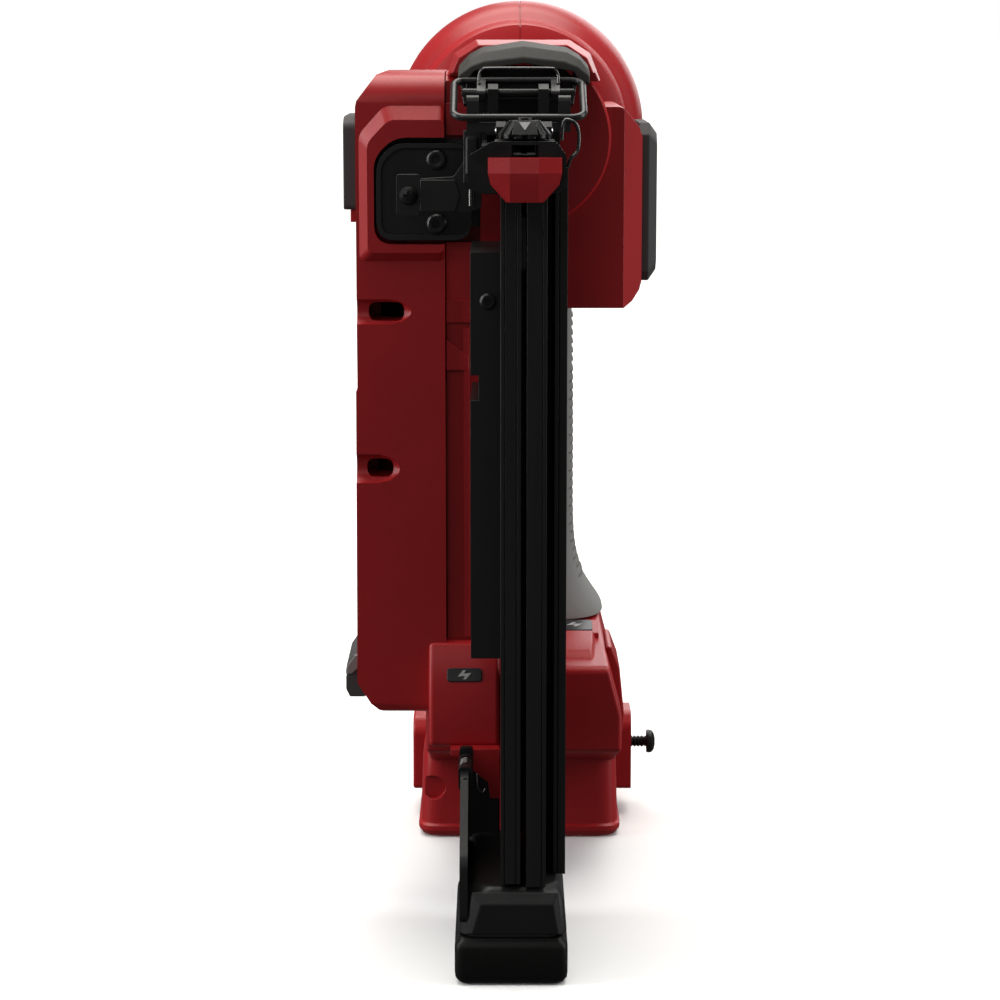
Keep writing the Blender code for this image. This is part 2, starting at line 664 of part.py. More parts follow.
def contact_parts():
    origin = (0, CONTACT_FRONT, DRIVE_Z)
    foot = block((-16.8, CONTACT_FRONT, 255), (12.4, -224.6, 270.2))
    fuse(foot, block((-16.8, -226, 256), (NOSE_LEFT - 0.4, -157.3, 264)))
    fuse(foot, block((NOSE_RIGHT + 0.4, -226, 256), (12.4, -206, 264)))
    fuse(foot, block((-9, -226, 268.8), (9, -209, 270.2)))
    fuse(foot, cylinder("Z", WHEEL_CENTRE, 2.2, 269.5, 277.2, 16))
    cut(foot, block((-4, -230, 263.8), (4, -222, 269.4)))
    cut(foot, block((-4, -224.6, 263.8), (4, -222, 269.4)))
    finish(foot, "contact_foot", "dark_steel", origin)
    outline = [(-6.4, 252), (6.4, 252), (11, 258.5), (11, 264.4), (10, 265.5), (-10, 265.5),
               (-11, 264.4), (-11, 258.5)]
    tip = prism(outline, "Y", -232.6, CONTACT_FRONT - GAP)
    cut(tip, block((-4.2, -240, 263.6), (4.2, -220, 270)))
    finish(tip, "no_mar_tip", "red_plastic", origin)
    arm_outline = [(-41, 243), (-33.4, 243), (-33.4, 244.4), (-17, 244.4), (-17, 250),
                   (-13.4, 250), (-13.4, 266.5), (-17.5, 266.5), (-20.5, 258), (-24, 255.6),
                   (-33.4, 255.6), (-33.4, 257), (-41, 257)]
    arm = prism(arm_outline, "Y", -157, -154)
    cut(arm, cylinder("Y", (-37, 250), 1.6, -160, -150, 16))
    finish(arm, "contact_linkage_arm", "black_metal", origin)
    profile = [(0, -159.6), (2, -159.4), (3, -158.4), (3, -157.3), (1.3, -157.3), (1.3, -152),
               (0, -152)]
    finish(revolve(profile, "Y", (-37, 250), 16), "linkage_screw", "dark_steel", origin)
    spring = sweep(helix("Y", (-37, 250), 3.4, -152.8, -142.4, 5), 0.45, sides=6)
    finish(spring, "contact_spring", "steel")


def depth_wheel():
    centre = WHEEL_CENTRE
    teeth = 12
    outline = []
    for i in range(teeth):
        start = 2 * math.pi * i / teeth
        for share, radius in ((0.0, 6.9), (0.14, WHEEL_RADIUS), (0.62, WHEEL_RADIUS), (0.76, 6.9)):
            angle = start + share * 2 * math.pi / teeth
            outline.append((centre[0] + radius * math.cos(angle),
                            centre[1] + radius * math.sin(angle)))
    wheel = cut(prism(outline, "Z", 270.6, 276.2), cylinder("Z", centre, 2.5, 268, 280, 20))
    finish(wheel, "depth_wheel", "black_plastic", (*centre, 273))


# ---------------------------------------------------------------- magazine

def magazine_rail():
    rail = block((-STRIP_HALF, MAGAZINE_FRONT, RAIL_BOTTOM), (-SLOT_HALF, MAGAZINE_BACK, RAIL_TOP))
    fuse(rail, block((-17, -186, 103), (-STRIP_HALF + 2, -140, 234)))
    cut(rail, block((-19, -190, 180), (-14.6, -130, 190)))
    cut(rail, block((-5.6, -176, RAIL_BOTTOM - 2), (0, -160, 247)))
    cut(rail, block((-5.6, -158, 236), (0, -146, 247)))
    finish(rail, "magazine_rail", "black_metal")
    profile = [(0, -186.3), (2, -186.3), (2, -186.9), (3, -187.4), (2.4, -188.6), (0, -188.8)]
    finish(revolve(profile, "Y", (-12, 226), 16), "rail_screw", "dark_steel")


def magazine_cover():
    origin = (0, MAGAZINE_FRONT, COVER_BOTTOM)
    cover = block((SLOT_HALF, MAGAZINE_FRONT, COVER_BOTTOM), (STRIP_HALF, MAGAZINE_BACK, RAIL_TOP))
    fuse(cover, block((STRIP_HALF - 1, -150, COVER_BOTTOM), (12, -140, RAIL_TOP)))
    fuse(cover, block((9.8, -190, COVER_BOTTOM), (13.8, -140, 260.8)))
    finish(cover, "magazine_cover", "black_metal", origin)
    return origin


def cap_outline(lower, upper):
    return [(-20, lower), (14.4, lower), (14.4, upper), (-20, upper)]


def magazine_end():
    origin = (0, MAGAZINE_FRONT, COVER_BOTTOM)
    cap = block((-20.5, -206, CAP_BOTTOM), (15.2, -139, 31.6), 2)
    fuse(cap, block((-20.5, -196, 24), (-17.6, -147, 78), 1))
    cut(cap, block((-22, -173, 42), (-16, -152, 80)))
    for near in (-176, -152):
        fuse(cap, block((-21.2, near, 56), (-16.4, near + 3, 64), 0.8, "X"))
    cut(cap, cylinder("Y", (LATCH_AXIS[0], LATCH_AXIS[2]), 1.5, -180, -140, 16))
    finish(cap, "magazine_end_cap", "black_plastic", origin)
    outline = [(-19, 0), (12, 0), (15, 3), (16, 15.4), (-20, 15.4), (-22, 13), (-21.5, 3)]
    finish(prism(outline, "Y", -207, -138.6), "magazine_foot", "black_rubber", origin)
    return origin


def magazine_latch():
    latch = block((-20.1, -172.4, 44), (-17.5, -152.6, 77), 0.8)
    fuse(latch, cylinder("Y", (LATCH_AXIS[0], LATCH_AXIS[2]), 2.5, -172.4, -152.6, 20))
    cut(latch, cylinder("Y", (LATCH_AXIS[0], LATCH_AXIS[2]), 1.5, -180, -140, 16))
    cut(latch, block((-24, -164, 56.5), (-14, -156, 63.5)))
    finish(latch, "magazine_latch", "black_plastic", LATCH_AXIS)
    pin = cylinder("Y", (LATCH_AXIS[0], LATCH_AXIS[2]), 1.2, -176, -149, 14)
    finish(pin, "magazine_latch_pin", "steel")
    coil = helix("Y", (LATCH_AXIS[0], LATCH_AXIS[2]), 2.1, -163.2, -156.8, 4)
    finish(sweep(coil, 0.4, sides=6), "magazine_latch_spring", "steel")


def pusher_parts():
    origin = (0, -168, 240)
    pusher = block((-5.2, -175.6, 228), (-0.6, -160.4, 244))
    fuse(pusher, block((-0.8, -202, 230), (0.6, -150, 246)))
    finish(pusher, "pusher", "dark_steel", origin)
    profile = [(2, -5.2), (4.8, -5.2), (4.8, -1.3), (2, -1.3)]
    finish(revolve(profile, "X", (-152, 241.4), 24), "pusher_spring", "steel")


# ---------------------------------------------------------------- trigger and case screws

CASE_SCREW_X = -36.0
CASE_SCREW_HEIGHTS = (216.0, 170.0)


def trigger_parts():
    outline = [(-26.4, 184), (-26.4, 206), (-27, 213), (-33, 213.6), (-40, 212), (-46, 205),
               (-48.5, 196), (-51, 186), (-48, 184)]
    trigger = prism(outline, "X", -7.5, 7.5)
    cut(trigger, cylinder("X", TRIGGER_AXIS[1:], 1.8, -20, 20, 16))
    finish(trigger, "trigger", "red_plastic", TRIGGER_AXIS)
    finish(cylinder("X", TRIGGER_AXIS[1:], 1.5, -11, 11, 16), "trigger_pin", "steel")
    spring = sweep(helix("Y", (0, 191), 2.6, -25.6, -20.8, 3), 0.4, sides=6)
    finish(spring, "trigger_spring", "steel")
    switch = block((-7, -20, 180), (7, 1, 206), 1)
    finish(switch, "trigger_switch", "black_plastic")


def case_screws():
    for name, height in zip(("case_screw_upper", "case_screw_lower"), CASE_SCREW_HEIGHTS):
        profile = [(0, -133.6), (3.4, -133.4), (3.8, -132.6), (1.5, -132.5), (1.5, -128.6),
                   (0, -128.6)]
        finish(revolve(profile, "Y", (CASE_SCREW_X, height), 20), name, "dark_steel")


def build():
    clear_scene()
    housing_shells()
    head_cap()
    grip()
    side_bumpers()
    terminal_block()
    foot_parts()
    cylinder_parts()
    driver_parts()
    lifter_parts()
    gear_case()
    motor_parts()
    nosepiece()
    jam_door()
    jam_latch()
    latch_bail()
    contact_parts()
    depth_wheel()
    magazine_rail()
    magazine_cover()
    magazine_end()
    magazine_latch()
    pusher_parts()
    trigger_parts()
    case_screws()


build()
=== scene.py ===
"""Looks of the cordless brad nailer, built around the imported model.

Same frame as the model: origin under the battery foot, +X to the right seen from the nose,
-Y towards the nose, +Z up.  Lengths are millimetres; MM turns them into metres in the meshes.
"""
import json
import math

import bmesh
import bpy
from mathutils import Matrix, Vector


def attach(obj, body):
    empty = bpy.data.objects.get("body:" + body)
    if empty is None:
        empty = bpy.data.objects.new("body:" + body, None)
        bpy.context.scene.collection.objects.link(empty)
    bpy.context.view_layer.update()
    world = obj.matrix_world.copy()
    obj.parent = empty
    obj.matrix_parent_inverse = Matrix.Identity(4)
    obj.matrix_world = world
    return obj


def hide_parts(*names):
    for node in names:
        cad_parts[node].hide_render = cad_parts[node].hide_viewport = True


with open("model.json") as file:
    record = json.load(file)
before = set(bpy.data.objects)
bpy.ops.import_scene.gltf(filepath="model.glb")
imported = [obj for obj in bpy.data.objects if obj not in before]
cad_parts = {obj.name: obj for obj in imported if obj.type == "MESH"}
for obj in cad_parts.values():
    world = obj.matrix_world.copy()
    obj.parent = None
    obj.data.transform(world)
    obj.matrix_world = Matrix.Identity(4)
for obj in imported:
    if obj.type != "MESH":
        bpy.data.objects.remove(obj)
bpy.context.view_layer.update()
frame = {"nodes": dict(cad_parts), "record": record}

MM = 0.001

# Axes and centres shared by several pieces, in the two coordinates across the axis.
DRIVE_Z = 267.0
DRIVE_AXIS = (0, DRIVE_Z)
LATCH_X = -1.6
LEVER_AXIS = (-170, 283.2)
BAIL_AXIS = (-166, 287)
DOOR_AXIS = (-194, 272.3)
TRIGGER_AXIS = (-30, 210)
WHEEL_AXIS = (0, -218)
CATCH_AXIS = (-18.8, 60.0)
LINKAGE_SCREW = (-37.0, 250.0)
HOOK_SCREW = (-4.0, 26.5)

GRIP_BASE = 83.8
GRIP_TOP = 206.0
GRIP_POWER = 3.2
FLARE_HEIGHT = 13.0
FLARE_POWER = 1.35

SMOOTH_ANGLE = 180
BEVEL_ANGLE = 28
SOCKET_DEPTH = 1.2
HELIX_STEPS = 20

CAMERA_PLACE = (-0.0074, -1.029, 0.303)
CAMERA_PITCH = 80.04
CAMERA_LENS = 96.5
FLOOR_HALF = 30.0
SUN_POWER = 3.9
SUN_ANGLE = 60
SUN_COLOUR = (1.0, 0.98, 0.93)
SUN_WAY = (0.04, -0.25, -1.0)
# Name, place and target in metres, size in metres, power in watts.
LAMPS = (
    ("strip_left", (-0.95, -0.28, 0.5), (-0.02, -0.1, 0.18), (0.3, 1.1), 7.5),
    ("strip_right", (0.95, -0.24, 0.5), (0.0, -0.1, 0.18), (0.3, 1.1), 5.5),
    ("front_card", (-0.5, -1.5, 0.95), (0.0, -0.15, 0.18), (0.9, 0.5), 2.5),
    ("rear_card", (0.4, 1.4, 0.7), (0.0, -0.05, 0.18), (1.0, 0.8), 6.0),
)
ROOM_SEEN = 1.0
ROOM_LIGHT = 0.10

HOUSING = ("housing_left", "housing_right", "column_cover", "foot_housing")


# ---- mesh helpers

def link_in(made):
    bpy.context.scene.collection.objects.link(made)


def from_bmesh(bm, name="piece"):
    bmesh.ops.recalc_face_normals(bm, faces=bm.faces)
    mesh = bpy.data.meshes.new(name)
    bm.to_mesh(mesh)
    bm.free()
    made = bpy.data.objects.new(name, mesh)
    link_in(made)
    return made


def skin(rings, closed=False):
    """Skin a row of equal rings of points in millimetres, capped unless it closes on itself."""
    bm = bmesh.new()
    rows = [[bm.verts.new(Vector(point) * MM) for point in ring] for ring in rings]
    count = len(rows[0])
    pairs = list(zip(rows, rows[1:]))
    if closed:
        pairs.append((rows[-1], rows[0]))
    for near, far in pairs:
        for i in range(count):
            j = (i + 1) % count
            bm.faces.new((near[i], near[j], far[j], far[i]))
    if not closed:
        bm.faces.new(rows[0])
        bm.faces.new(rows[-1])
    return from_bmesh(bm)


def place(axis, u, v, w):
    """A point with w along the named axis and u, v on the other two in X, Y, Z order."""
    if axis == "X":
        return (w, u, v)
    if axis == "Y":
        return (u, w, v)
    return (u, v, w)


def prism(outline, axis, low, high):
    return skin([[place(axis, u, v, w) for u, v in outline] for w in (low, high)])


def block(low, high):
    corners = [(low[0], low[1]), (high[0], low[1]), (high[0], high[1]), (low[0], high[1])]
    return prism(corners, "Z", low[2], high[2])


def circle(radius, centre=(0.0, 0.0), sides=48):
    step = 2 * math.pi / sides
    return [(centre[0] + radius * math.cos(i * step), centre[1] + radius * math.sin(i * step))
            for i in range(sides)]


def rod(axis, centre, radius, low, high, sides=48):
    return prism(circle(radius, centre, sides), axis, low, high)


def revolve(profile, axis, centre, sides=64):
    """Turn a closed profile of (radius, height) round an axis; radius 0 makes a pole."""
    bm = bmesh.new()
    rows = []
    for radius, height in profile:
        if radius == 0:
            rows.append([bm.verts.new(Vector(place(axis, *centre, height)) * MM)])
        else:
            rows.append([bm.verts.new(Vector(place(axis, u, v, height)) * MM)
                         for u, v in circle(radius, centre, sides)])
    for near, far in zip(rows, rows[1:] + rows[:1]):
        if len(near) == 1 and len(far) == 1:
            continue
        for i in range(sides):
            j = (i + 1) % sides
            if len(near) == 1:
                bm.faces.new((near[0], far[i], far[j]))
            elif len(far) == 1:
                bm.faces.new((near[i], near[j], far[0]))
            else:
                bm.faces.new((near[i], near[j], far[j], far[i]))
    return from_bmesh(bm)


def sweep(path, radius, closed=False, sides=14):
    """A round wire along a path of points, its rings carried round without twist."""
    points = [Vector(p) for p in path]
    last = len(points) - 1
    rings = []
    side = None
    for i, point in enumerate(points):
        before = points[i - 1] if i > 0 or closed else points[i]
        after = points[(i + 1) % len(points)] if i < last or closed else points[i]
        way = (after - before).normalized()
        if side is None:
            side = way.orthogonal().normalized()
        side = (side - way * side.dot(way)).normalized()
        other = way.cross(side)
        rings.append([point + side * u + other * v for u, v in circle(radius, sides=sides)])
    return skin(rings, closed=closed)


def helix(axis, centre, radius, low, high, turns):
    points = []
    for i in range(turns * HELIX_STEPS + 1):
        angle = 2 * math.pi * i / HELIX_STEPS
        along = low + (high - low) * i / (turns * HELIX_STEPS)
        points.append(place(axis, centre[0] + radius * math.cos(angle),
                            centre[1] + radius * math.sin(angle), along))
    return points


def rounded(outline, radius, steps=5):
    """Round the corners of a convex or concave outline with arcs of about the radius."""
    made = []
    count = len(outline)
    for i, corner in enumerate(outline):
        here = Vector(corner)
        back = Vector(outline[i - 1]) - here
        on = Vector(outline[(i + 1) % count]) - here
        reach = min(radius, 0.45 * back.length, 0.45 * on.length)
        start, end = here + back.normalized() * reach, here + on.normalized() * reach
        for k in range(steps + 1):
            t = k / steps
            made.append(tuple(start * (1 - t) ** 2 + here * 2 * t * (1 - t) + end * t * t))
    return made


def rectangle(low_u, low_v, high_u, high_v):
    return [(low_u, low_v), (high_u, low_v), (high_u, high_v), (low_u, high_v)]


def combine(target, tool, operation):
    modifier = target.modifiers.new("combine", "BOOLEAN")
    modifier.operation = operation
    modifier.solver = "EXACT"
    modifier.object = tool
    depsgraph = bpy.context.evaluated_depsgraph_get()
    made = bpy.data.meshes.new_from_object(target.evaluated_get(depsgraph))
    target.modifiers.clear()
    target.data = made
    bpy.data.objects.remove(tool, do_unlink=True)
    return target


def fuse(target, *tools):
    for tool in tools:
        combine(target, tool, "UNION")
    return target


def cut(target, *tools):
    for tool in tools:
        combine(target, tool, "DIFFERENCE")
    return target


def keep(target, tool):
    return combine(target, tool, "INTERSECT")


def bevel(piece, width, segments):
    modifier = piece.modifiers.new("edge", "BEVEL")
    modifier.width = width * MM
    modifier.segments = segments
    modifier.limit_method = "ANGLE"
    modifier.angle_limit = math.radians(BEVEL_ANGLE)
    modifier.miter_outer = "MITER_ARC"


def finish(piece, name, look, body, stands_for=(), edge=0.0, segments=3, sharp=38):
    """Name a piece, give it its material, round its edges and let it ride on its body."""
    piece.name = name
    piece.data.name = name
    piece.data.materials.clear()
    piece.data.materials.append(material_of(look))
    if edge:
        bevel(piece, edge, segments)
    piece.data.shade_smooth()
    piece.data.set_sharp_from_angle(angle=math.radians(SMOOTH_ANGLE if edge else sharp))
    if edge:
        weighted = piece.modifiers.new("normals", "WEIGHTED_NORMAL")
        weighted.keep_sharp = True
        weighted.weight = 60
    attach(piece, body)
    if stands_for:
        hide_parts(*stands_for)
    return piece


def shell(piece, name, **edges):
    """A red piece that stands for the housing nodes."""
    return finish(piece, name, "red", "frame", HOUSING, **edges)


# ---- materials

def new_material(name):
    found = bpy.data.materials.get(name)
    if found:
        return found, None
    made = bpy.data.materials.new(name)
    made.use_nodes = True
    return made, made.node_tree.nodes["Principled BSDF"]


def node(tree, kind, **values):
    made = tree.nodes.new(kind)
    for key, value in values.items():
        if key in made.inputs:
            made.inputs[key].default_value = value
        else:
            setattr(made, key, value)
    return made


def surface(name, colour, darker, roughness, metallic=0.0, specular=0.5, grain=1500.0,
            grain_height=0.00004, blotch=18.0, rough_spread=0.08, stretch=(1.0, 1.0, 1.0)):
    """Two mottled shades, uneven gloss and a fine grain that stands out as bump."""
    made, shader = new_material(name)
    if shader is None:
        return made
    tree = made.node_tree
    link = tree.links.new
    place_at = node(tree, "ShaderNodeTexCoord")
    stretched = node(tree, "ShaderNodeMapping")
    stretched.inputs["Scale"].default_value = stretch
    link(place_at.outputs["Object"], stretched.inputs["Vector"])
    wide = node(tree, "ShaderNodeTexNoise", Scale=blotch, Detail=4.0, Roughness=0.6)
    fine = node(tree, "ShaderNodeTexNoise", Scale=grain, Detail=3.0, Roughness=0.55)
    link(stretched.outputs["Vector"], wide.inputs["Vector"])
    link(stretched.outputs["Vector"], fine.inputs["Vector"])
    shade = node(tree, "ShaderNodeValToRGB")
    shade.color_ramp.elements[0].position = 0.3
    shade.color_ramp.elements[0].color = (*darker, 1.0)
    shade.color_ramp.elements[1].position = 0.7
    shade.color_ramp.elements[1].color = (*colour, 1.0)
    link(wide.outputs["Fac"], shade.inputs["Fac"])
    link(shade.outputs["Color"], shader.inputs["Base Color"])
    gloss = node(tree, "ShaderNodeMapRange")
    gloss.inputs["To Min"].default_value = roughness - rough_spread
    gloss.inputs["To Max"].default_value = roughness + rough_spread
    link(fine.outputs["Fac"], gloss.inputs["Value"])
    link(gloss.outputs["Result"], shader.inputs["Roughness"])
    bump = node(tree, "ShaderNodeBump", Strength=0.6, Distance=grain_height)
    link(fine.outputs["Fac"], bump.inputs["Height"])
    link(bump.outputs["Normal"], shader.inputs["Normal"])
    shader.inputs["Metallic"].default_value = metallic
    shader.inputs["Specular IOR Level"].default_value = specular
    return made


def grey(level):
    return (level, level, level)


# Slot in the record, material name, colour, darker colour, roughness, and what differs from the
# defaults of surface().  The first look of a slot also dresses the CAD nodes that keep their shape.
LOOKS = {
    "red": ("red_plastic", "red_moulding", (0.44, 0.013, 0.017), (0.37, 0.011, 0.014), 0.38,
            dict(specular=0.4, grain=1400.0, grain_height=0.00006)),
    "black": ("black_plastic", "black_moulding", grey(0.011), grey(0.007), 0.42,
              dict(specular=0.35, grain=1300.0, grain_height=0.00006)),
    "grip": ("grip_rubber", "grip_rubber", (0.018, 0.0172, 0.014), (0.013, 0.0124, 0.01), 0.66,
             dict(specular=0.03, grain=1600.0, grain_height=0.0001)),
    # hood: the same rubber as the grip, with a colour about three times lighter than the grip's;
    # the extra lightness is painted light on the hood on top of the tool.
    "hood": ("grip_rubber", "hood_rubber_painted_light", (0.05, 0.047, 0.041), (0.036, 0.034, 0.029), 0.6,
             dict(specular=0.3, grain=1600.0, grain_height=0.0001)),
    "rubber": ("black_rubber", "black_rubber", (0.006, 0.006, 0.0055), (0.004, 0.004, 0.0037),
               0.62, dict(specular=0.14, grain=1100.0, grain_height=0.00008)),
    "base": ("black_rubber", "base_rubber", (0.007, 0.007, 0.0065), (0.005, 0.005, 0.0045),
             0.44, dict(specular=0.2, grain=1100.0, grain_height=0.00008)),
    "coated": ("black_metal", "black_coated_metal", grey(0.014), grey(0.009), 0.34,
               dict(grain=2200.0, grain_height=0.00003)),
    "anodised": ("black_aluminium", "black_anodised", (0.010, 0.0105, 0.010),
                 (0.006, 0.0065, 0.006), 0.36,
                 dict(specular=0.45, grain=900.0, grain_height=0.00002, blotch=40.0,
                      stretch=(1.0, 1.0, 0.04))),
    "dark_steel": ("dark_steel", "blackened_steel", grey(0.035), grey(0.018), 0.38,
                   dict(metallic=0.7, grain_height=0.00003, blotch=90.0)),
    "steel": ("steel", "bright_steel", (0.60, 0.60, 0.58), (0.45, 0.45, 0.44), 0.24,
              dict(metallic=1.0, grain=1800.0, grain_height=0.00001, blotch=60.0)),
    "wire": ("steel", "wire_steel", (0.16, 0.16, 0.155), (0.09, 0.09, 0.088), 0.26,
             dict(metallic=1.0, grain_height=0.00001, blotch=120.0)),
    "aluminium": ("aluminium", "cast_aluminium", grey(0.55), grey(0.44), 0.45,
                  dict(metallic=1.0, grain=700.0, grain_height=0.00008, blotch=50.0)),
    "casting": ("aluminium", "dark_casting", grey(0.05), grey(0.03), 0.5,
                dict(metallic=0.4, grain=700.0, grain_height=0.00008, blotch=50.0)),
    "copper": ("copper", "lacquered_winding", (0.55, 0.20, 0.09), (0.33, 0.11, 0.05), 0.4,
               dict(metallic=1.0, grain=600.0, grain_height=0.0002, blotch=200.0,
                    stretch=(1.0, 1.0, 0.2))),
    "lens": ("lens", "smoked_lens", (0.02, 0.02, 0.022), (0.015, 0.015, 0.016), 0.3,
             dict(specular=0.3, grain=900.0, grain_height=0.00001, rough_spread=0.04)),
    "mark": ("lens", "pale_mark", (0.40, 0.40, 0.385), (0.30, 0.30, 0.29), 0.5,
             dict(grain=900.0)),
    "board": ("board", "solder_mask", (0.02, 0.13, 0.05), (0.012, 0.09, 0.035), 0.4,
              dict(blotch=150.0)),
}
CARRIED_LOOKS = {"gear_case": "casting", "magazine_latch_pin": "coated"}


def material_of(look):
    name, colour, darker, roughness, options = LOOKS[look][1:]
    return surface(name, colour, darker, roughness, **options)


# ---- red housing

HEAD_OUTLINE = [(44.0, 48.2), (46.0, 45.6), (46.6, 42), (46.6, -2), (46.4, -8), (45.6, -13.5),
                (44.0, -18.5), (41.8, -22.0), (40.2, -23.6), (39.6, -24.6), (39.4, -27),
                (39.0, -31), (37.6, -33.8), (34.8, -35.4), (31.4, -36.6), (30.5, -40),
                (30.0, -60), (29.8, -125.5), (29.0, -127)]


def head_shell():
    profile = [(0, 48.2)] + HEAD_OUTLINE + [(0, -127)]
    head = revolve(profile, "Y", DRIVE_AXIS, 128)
    upper = [(y, DRIVE_Z + r - 0.7) for r, y in HEAD_OUTLINE]
    core = prism(upper + [(-127, 240), (48.2, 240)], "X", -2, 2)
    groove = block((-0.25, -126, 250), (0.25, 47, 320))
    cut(groove, core)
    cut(head, groove)
    shell(head, "head_shell", sharp=24)


def head_end_cap():
    profile = [(0, 48.5), (43.0, 48.5), (43.6, 50), (42.8, 54.5), (40.5, 57.6), (37, 59.2),
               (33.5, 59.7), (32.4, 59.2), (31.4, 58.2), (22, 58.2), (21, 59.0), (19.8, 59.4),
               (0, 59.4)]
    cap = revolve(profile, "Y", DRIVE_AXIS, 96)
    for i in range(18):
        slot_cut = block((-1.1, 56.4, 23.6), (1.1, 60, 29.8))
        turn = Matrix.Rotation(2 * math.pi * i / 18, 4, "Y")
        slot_cut.data.transform(Matrix.Translation((0, 0, DRIVE_Z * MM)) @ turn)
        cut(cap, slot_cut)
    finish(cap, "head_end_cap", "red", "frame", ("head_cap",), edge=0.35, segments=2)
    for i in range(4):
        angle = math.pi / 4 + i * math.pi / 2
        centre = (37.0 * math.cos(angle), DRIVE_Z + 37.0 * math.sin(angle))
        socket_screw(f"head_cap_screw_{i + 1}", "Y", centre, 2.6, 57.6, 59.9)


def socket_screw(name, axis, centre, radius, low, high, outward=1):
    """A round head between low and high with a six-lobed socket in its outer end."""
    rim = 0.25 * radius
    top, base = (high, low) if outward > 0 else (low, high)
    profile = [(0, base), (radius, base), (radius, top - outward * rim),
               (radius - rim, top), (0, top)]
    head = revolve(profile, axis, centre, 40)
    lobes = []
    for i in range(36):
        angle = 2 * math.pi * i / 36
        reach = radius * (0.44 + 0.09 * math.cos(6 * angle))
        lobes.append((centre[0] + reach * math.cos(angle), centre[1] + reach * math.sin(angle)))
    near, far = sorted((top - outward * SOCKET_DEPTH, top + outward))
    cut(head, prism(lobes, axis, near, far))
    return finish(head, name, "dark_steel", "frame", sharp=30)


def column_outline(grow=0.0, left=-55.4):
    return [(left - grow, 82), (left + 4.6 - grow, 74.8), (left + 7.5, 72.2 - grow),
            (left + 18, 71.2 - grow), (-25.8, 71.2 - grow), (-25.8, 289), (-46.4, 289),
            (-48.5, 288.2), (left + 0.4, 279.6), (left, 277.5)]


def column_side():
    """Side outline (Y, Z) of the motor housing: rolled front edges at top and bottom."""
    return [(-134, 75), (-134, 279.0), (-133.4, 282.2), (-131.6, 285.4), (-128.6, 287.8),
            (-124, 289), (-74.2, 289), (-74.2, 71.2), (-130, 71.2), (-133, 72.4)]


def motor_column():
    """Left shell of the motor housing: framed pocket in front and two screw ways."""
    column = keep(prism(column_outline(), "Y", -134, -74.2), prism(column_side(), "X", -70, 0))
    skirt = keep(prism(column_outline(0.8, -55.5), "Y", -134.3, -74.2),
                 block((-60, -140, 60), (0, -60, 183)))
    fuse(column, keep(skirt, prism(column_side(), "X", -70, 0)))
    base = rounded([(-54.6, 226.4), (-25.8, 226.4), (-25.8, 278.6), (-46.0, 278.6),
                    (-54.6, 269.0)], 2.4)
    crest = rounded([(-51.4, 229.8), (-25.8, 229.8), (-25.8, 273.6), (-44.2, 273.6),
                     (-51.4, 266.0)], 2.4)
    fuse(column, skin([[(u, -133.6, v) for u, v in base], [(u, -137.4, v) for u, v in crest]]))
    pocket = rounded([(-49.2, 232.6), (-20, 232.6), (-20, 267.8), (-42.4, 267.8),
                      (-49.2, 261.2)], 6.5, 8)
    cut(column, prism(pocket, "Y", -150, -127))
    for height, radius, tip in ((209.8, 4.5, -36.2), (156.6, 5.2, -40.4)):
        bullet = [(0, -62), (radius, -62), (radius, tip - 8), (radius * 0.8, tip - 4),
                  (radius * 0.42, tip - 1.2), (0, tip)]
        cut(column, revolve(bullet, "X", (-135.6, height), 40))
    for height, left, right in ((209.8, -51.5, -39.5), (156.6, -52.5, -43.5)):
        way = rounded(rectangle(left, height - 3.2, right, height + 3.2), 3.0)
        cut(column, prism(way, "Y", -140, -112))
    shell(column, "motor_shell_left", edge=1.5, segments=4)
    louvres()


def louvres():
    """Cooling slots near the foot of the motor housing, framed on its outer side."""
    frame_outline = rounded([(-116, 100), (-88, 100), (-88, 140), (-116, 140)], 4)
    pad = prism(frame_outline, "X", -56.3, -54.8)
    for i in range(6):
        slot_cut = rounded(rectangle(-112, 104.4 + 5.6 * i, -92, 107.4 + 5.6 * i), 1.4)
        cut(pad, prism(slot_cut, "X", -58, -55.2))
    finish(pad, "motor_louvres", "red", "frame", edge=0.3, segments=2)


def motor_column_inner():
    """Right shell of the motor housing, set back behind the seam."""
    outline = [(-25.4, 71.2), (-1, 71.2), (3, 75), (3, 289), (-25.4, 289)]
    inner = keep(prism(outline, "Y", -130.6, -74.2),
                 prism(column_side(), "X", -60, 10))
    fuse(inner, block((-25.4, -133.4, 268.4), (-16.6, -129, 279)))
    cut(inner, block((-15.6, -150, 249.4), (14, -127, 286.2)),
        block((-30, -150, 232.8), (-14, -127, 267.2)))
    band = [(-25.4, 206.0), (-14, 206.0), (-14, 213.4), (-25.4, 213.4)]
    fuse(inner, prism(band, "Y", -132.2, -129))
    rib = [(-25.4, 190), (-25.4, 200), (-18, 194.5), (-18, 190)]
    fuse(inner, prism(rib, "Y", -132.6, -129), block((-19.6, -132.4, 98), (-17.8, -129, 204)))
    shell(inner, "motor_shell_right", edge=0.9, segments=3)


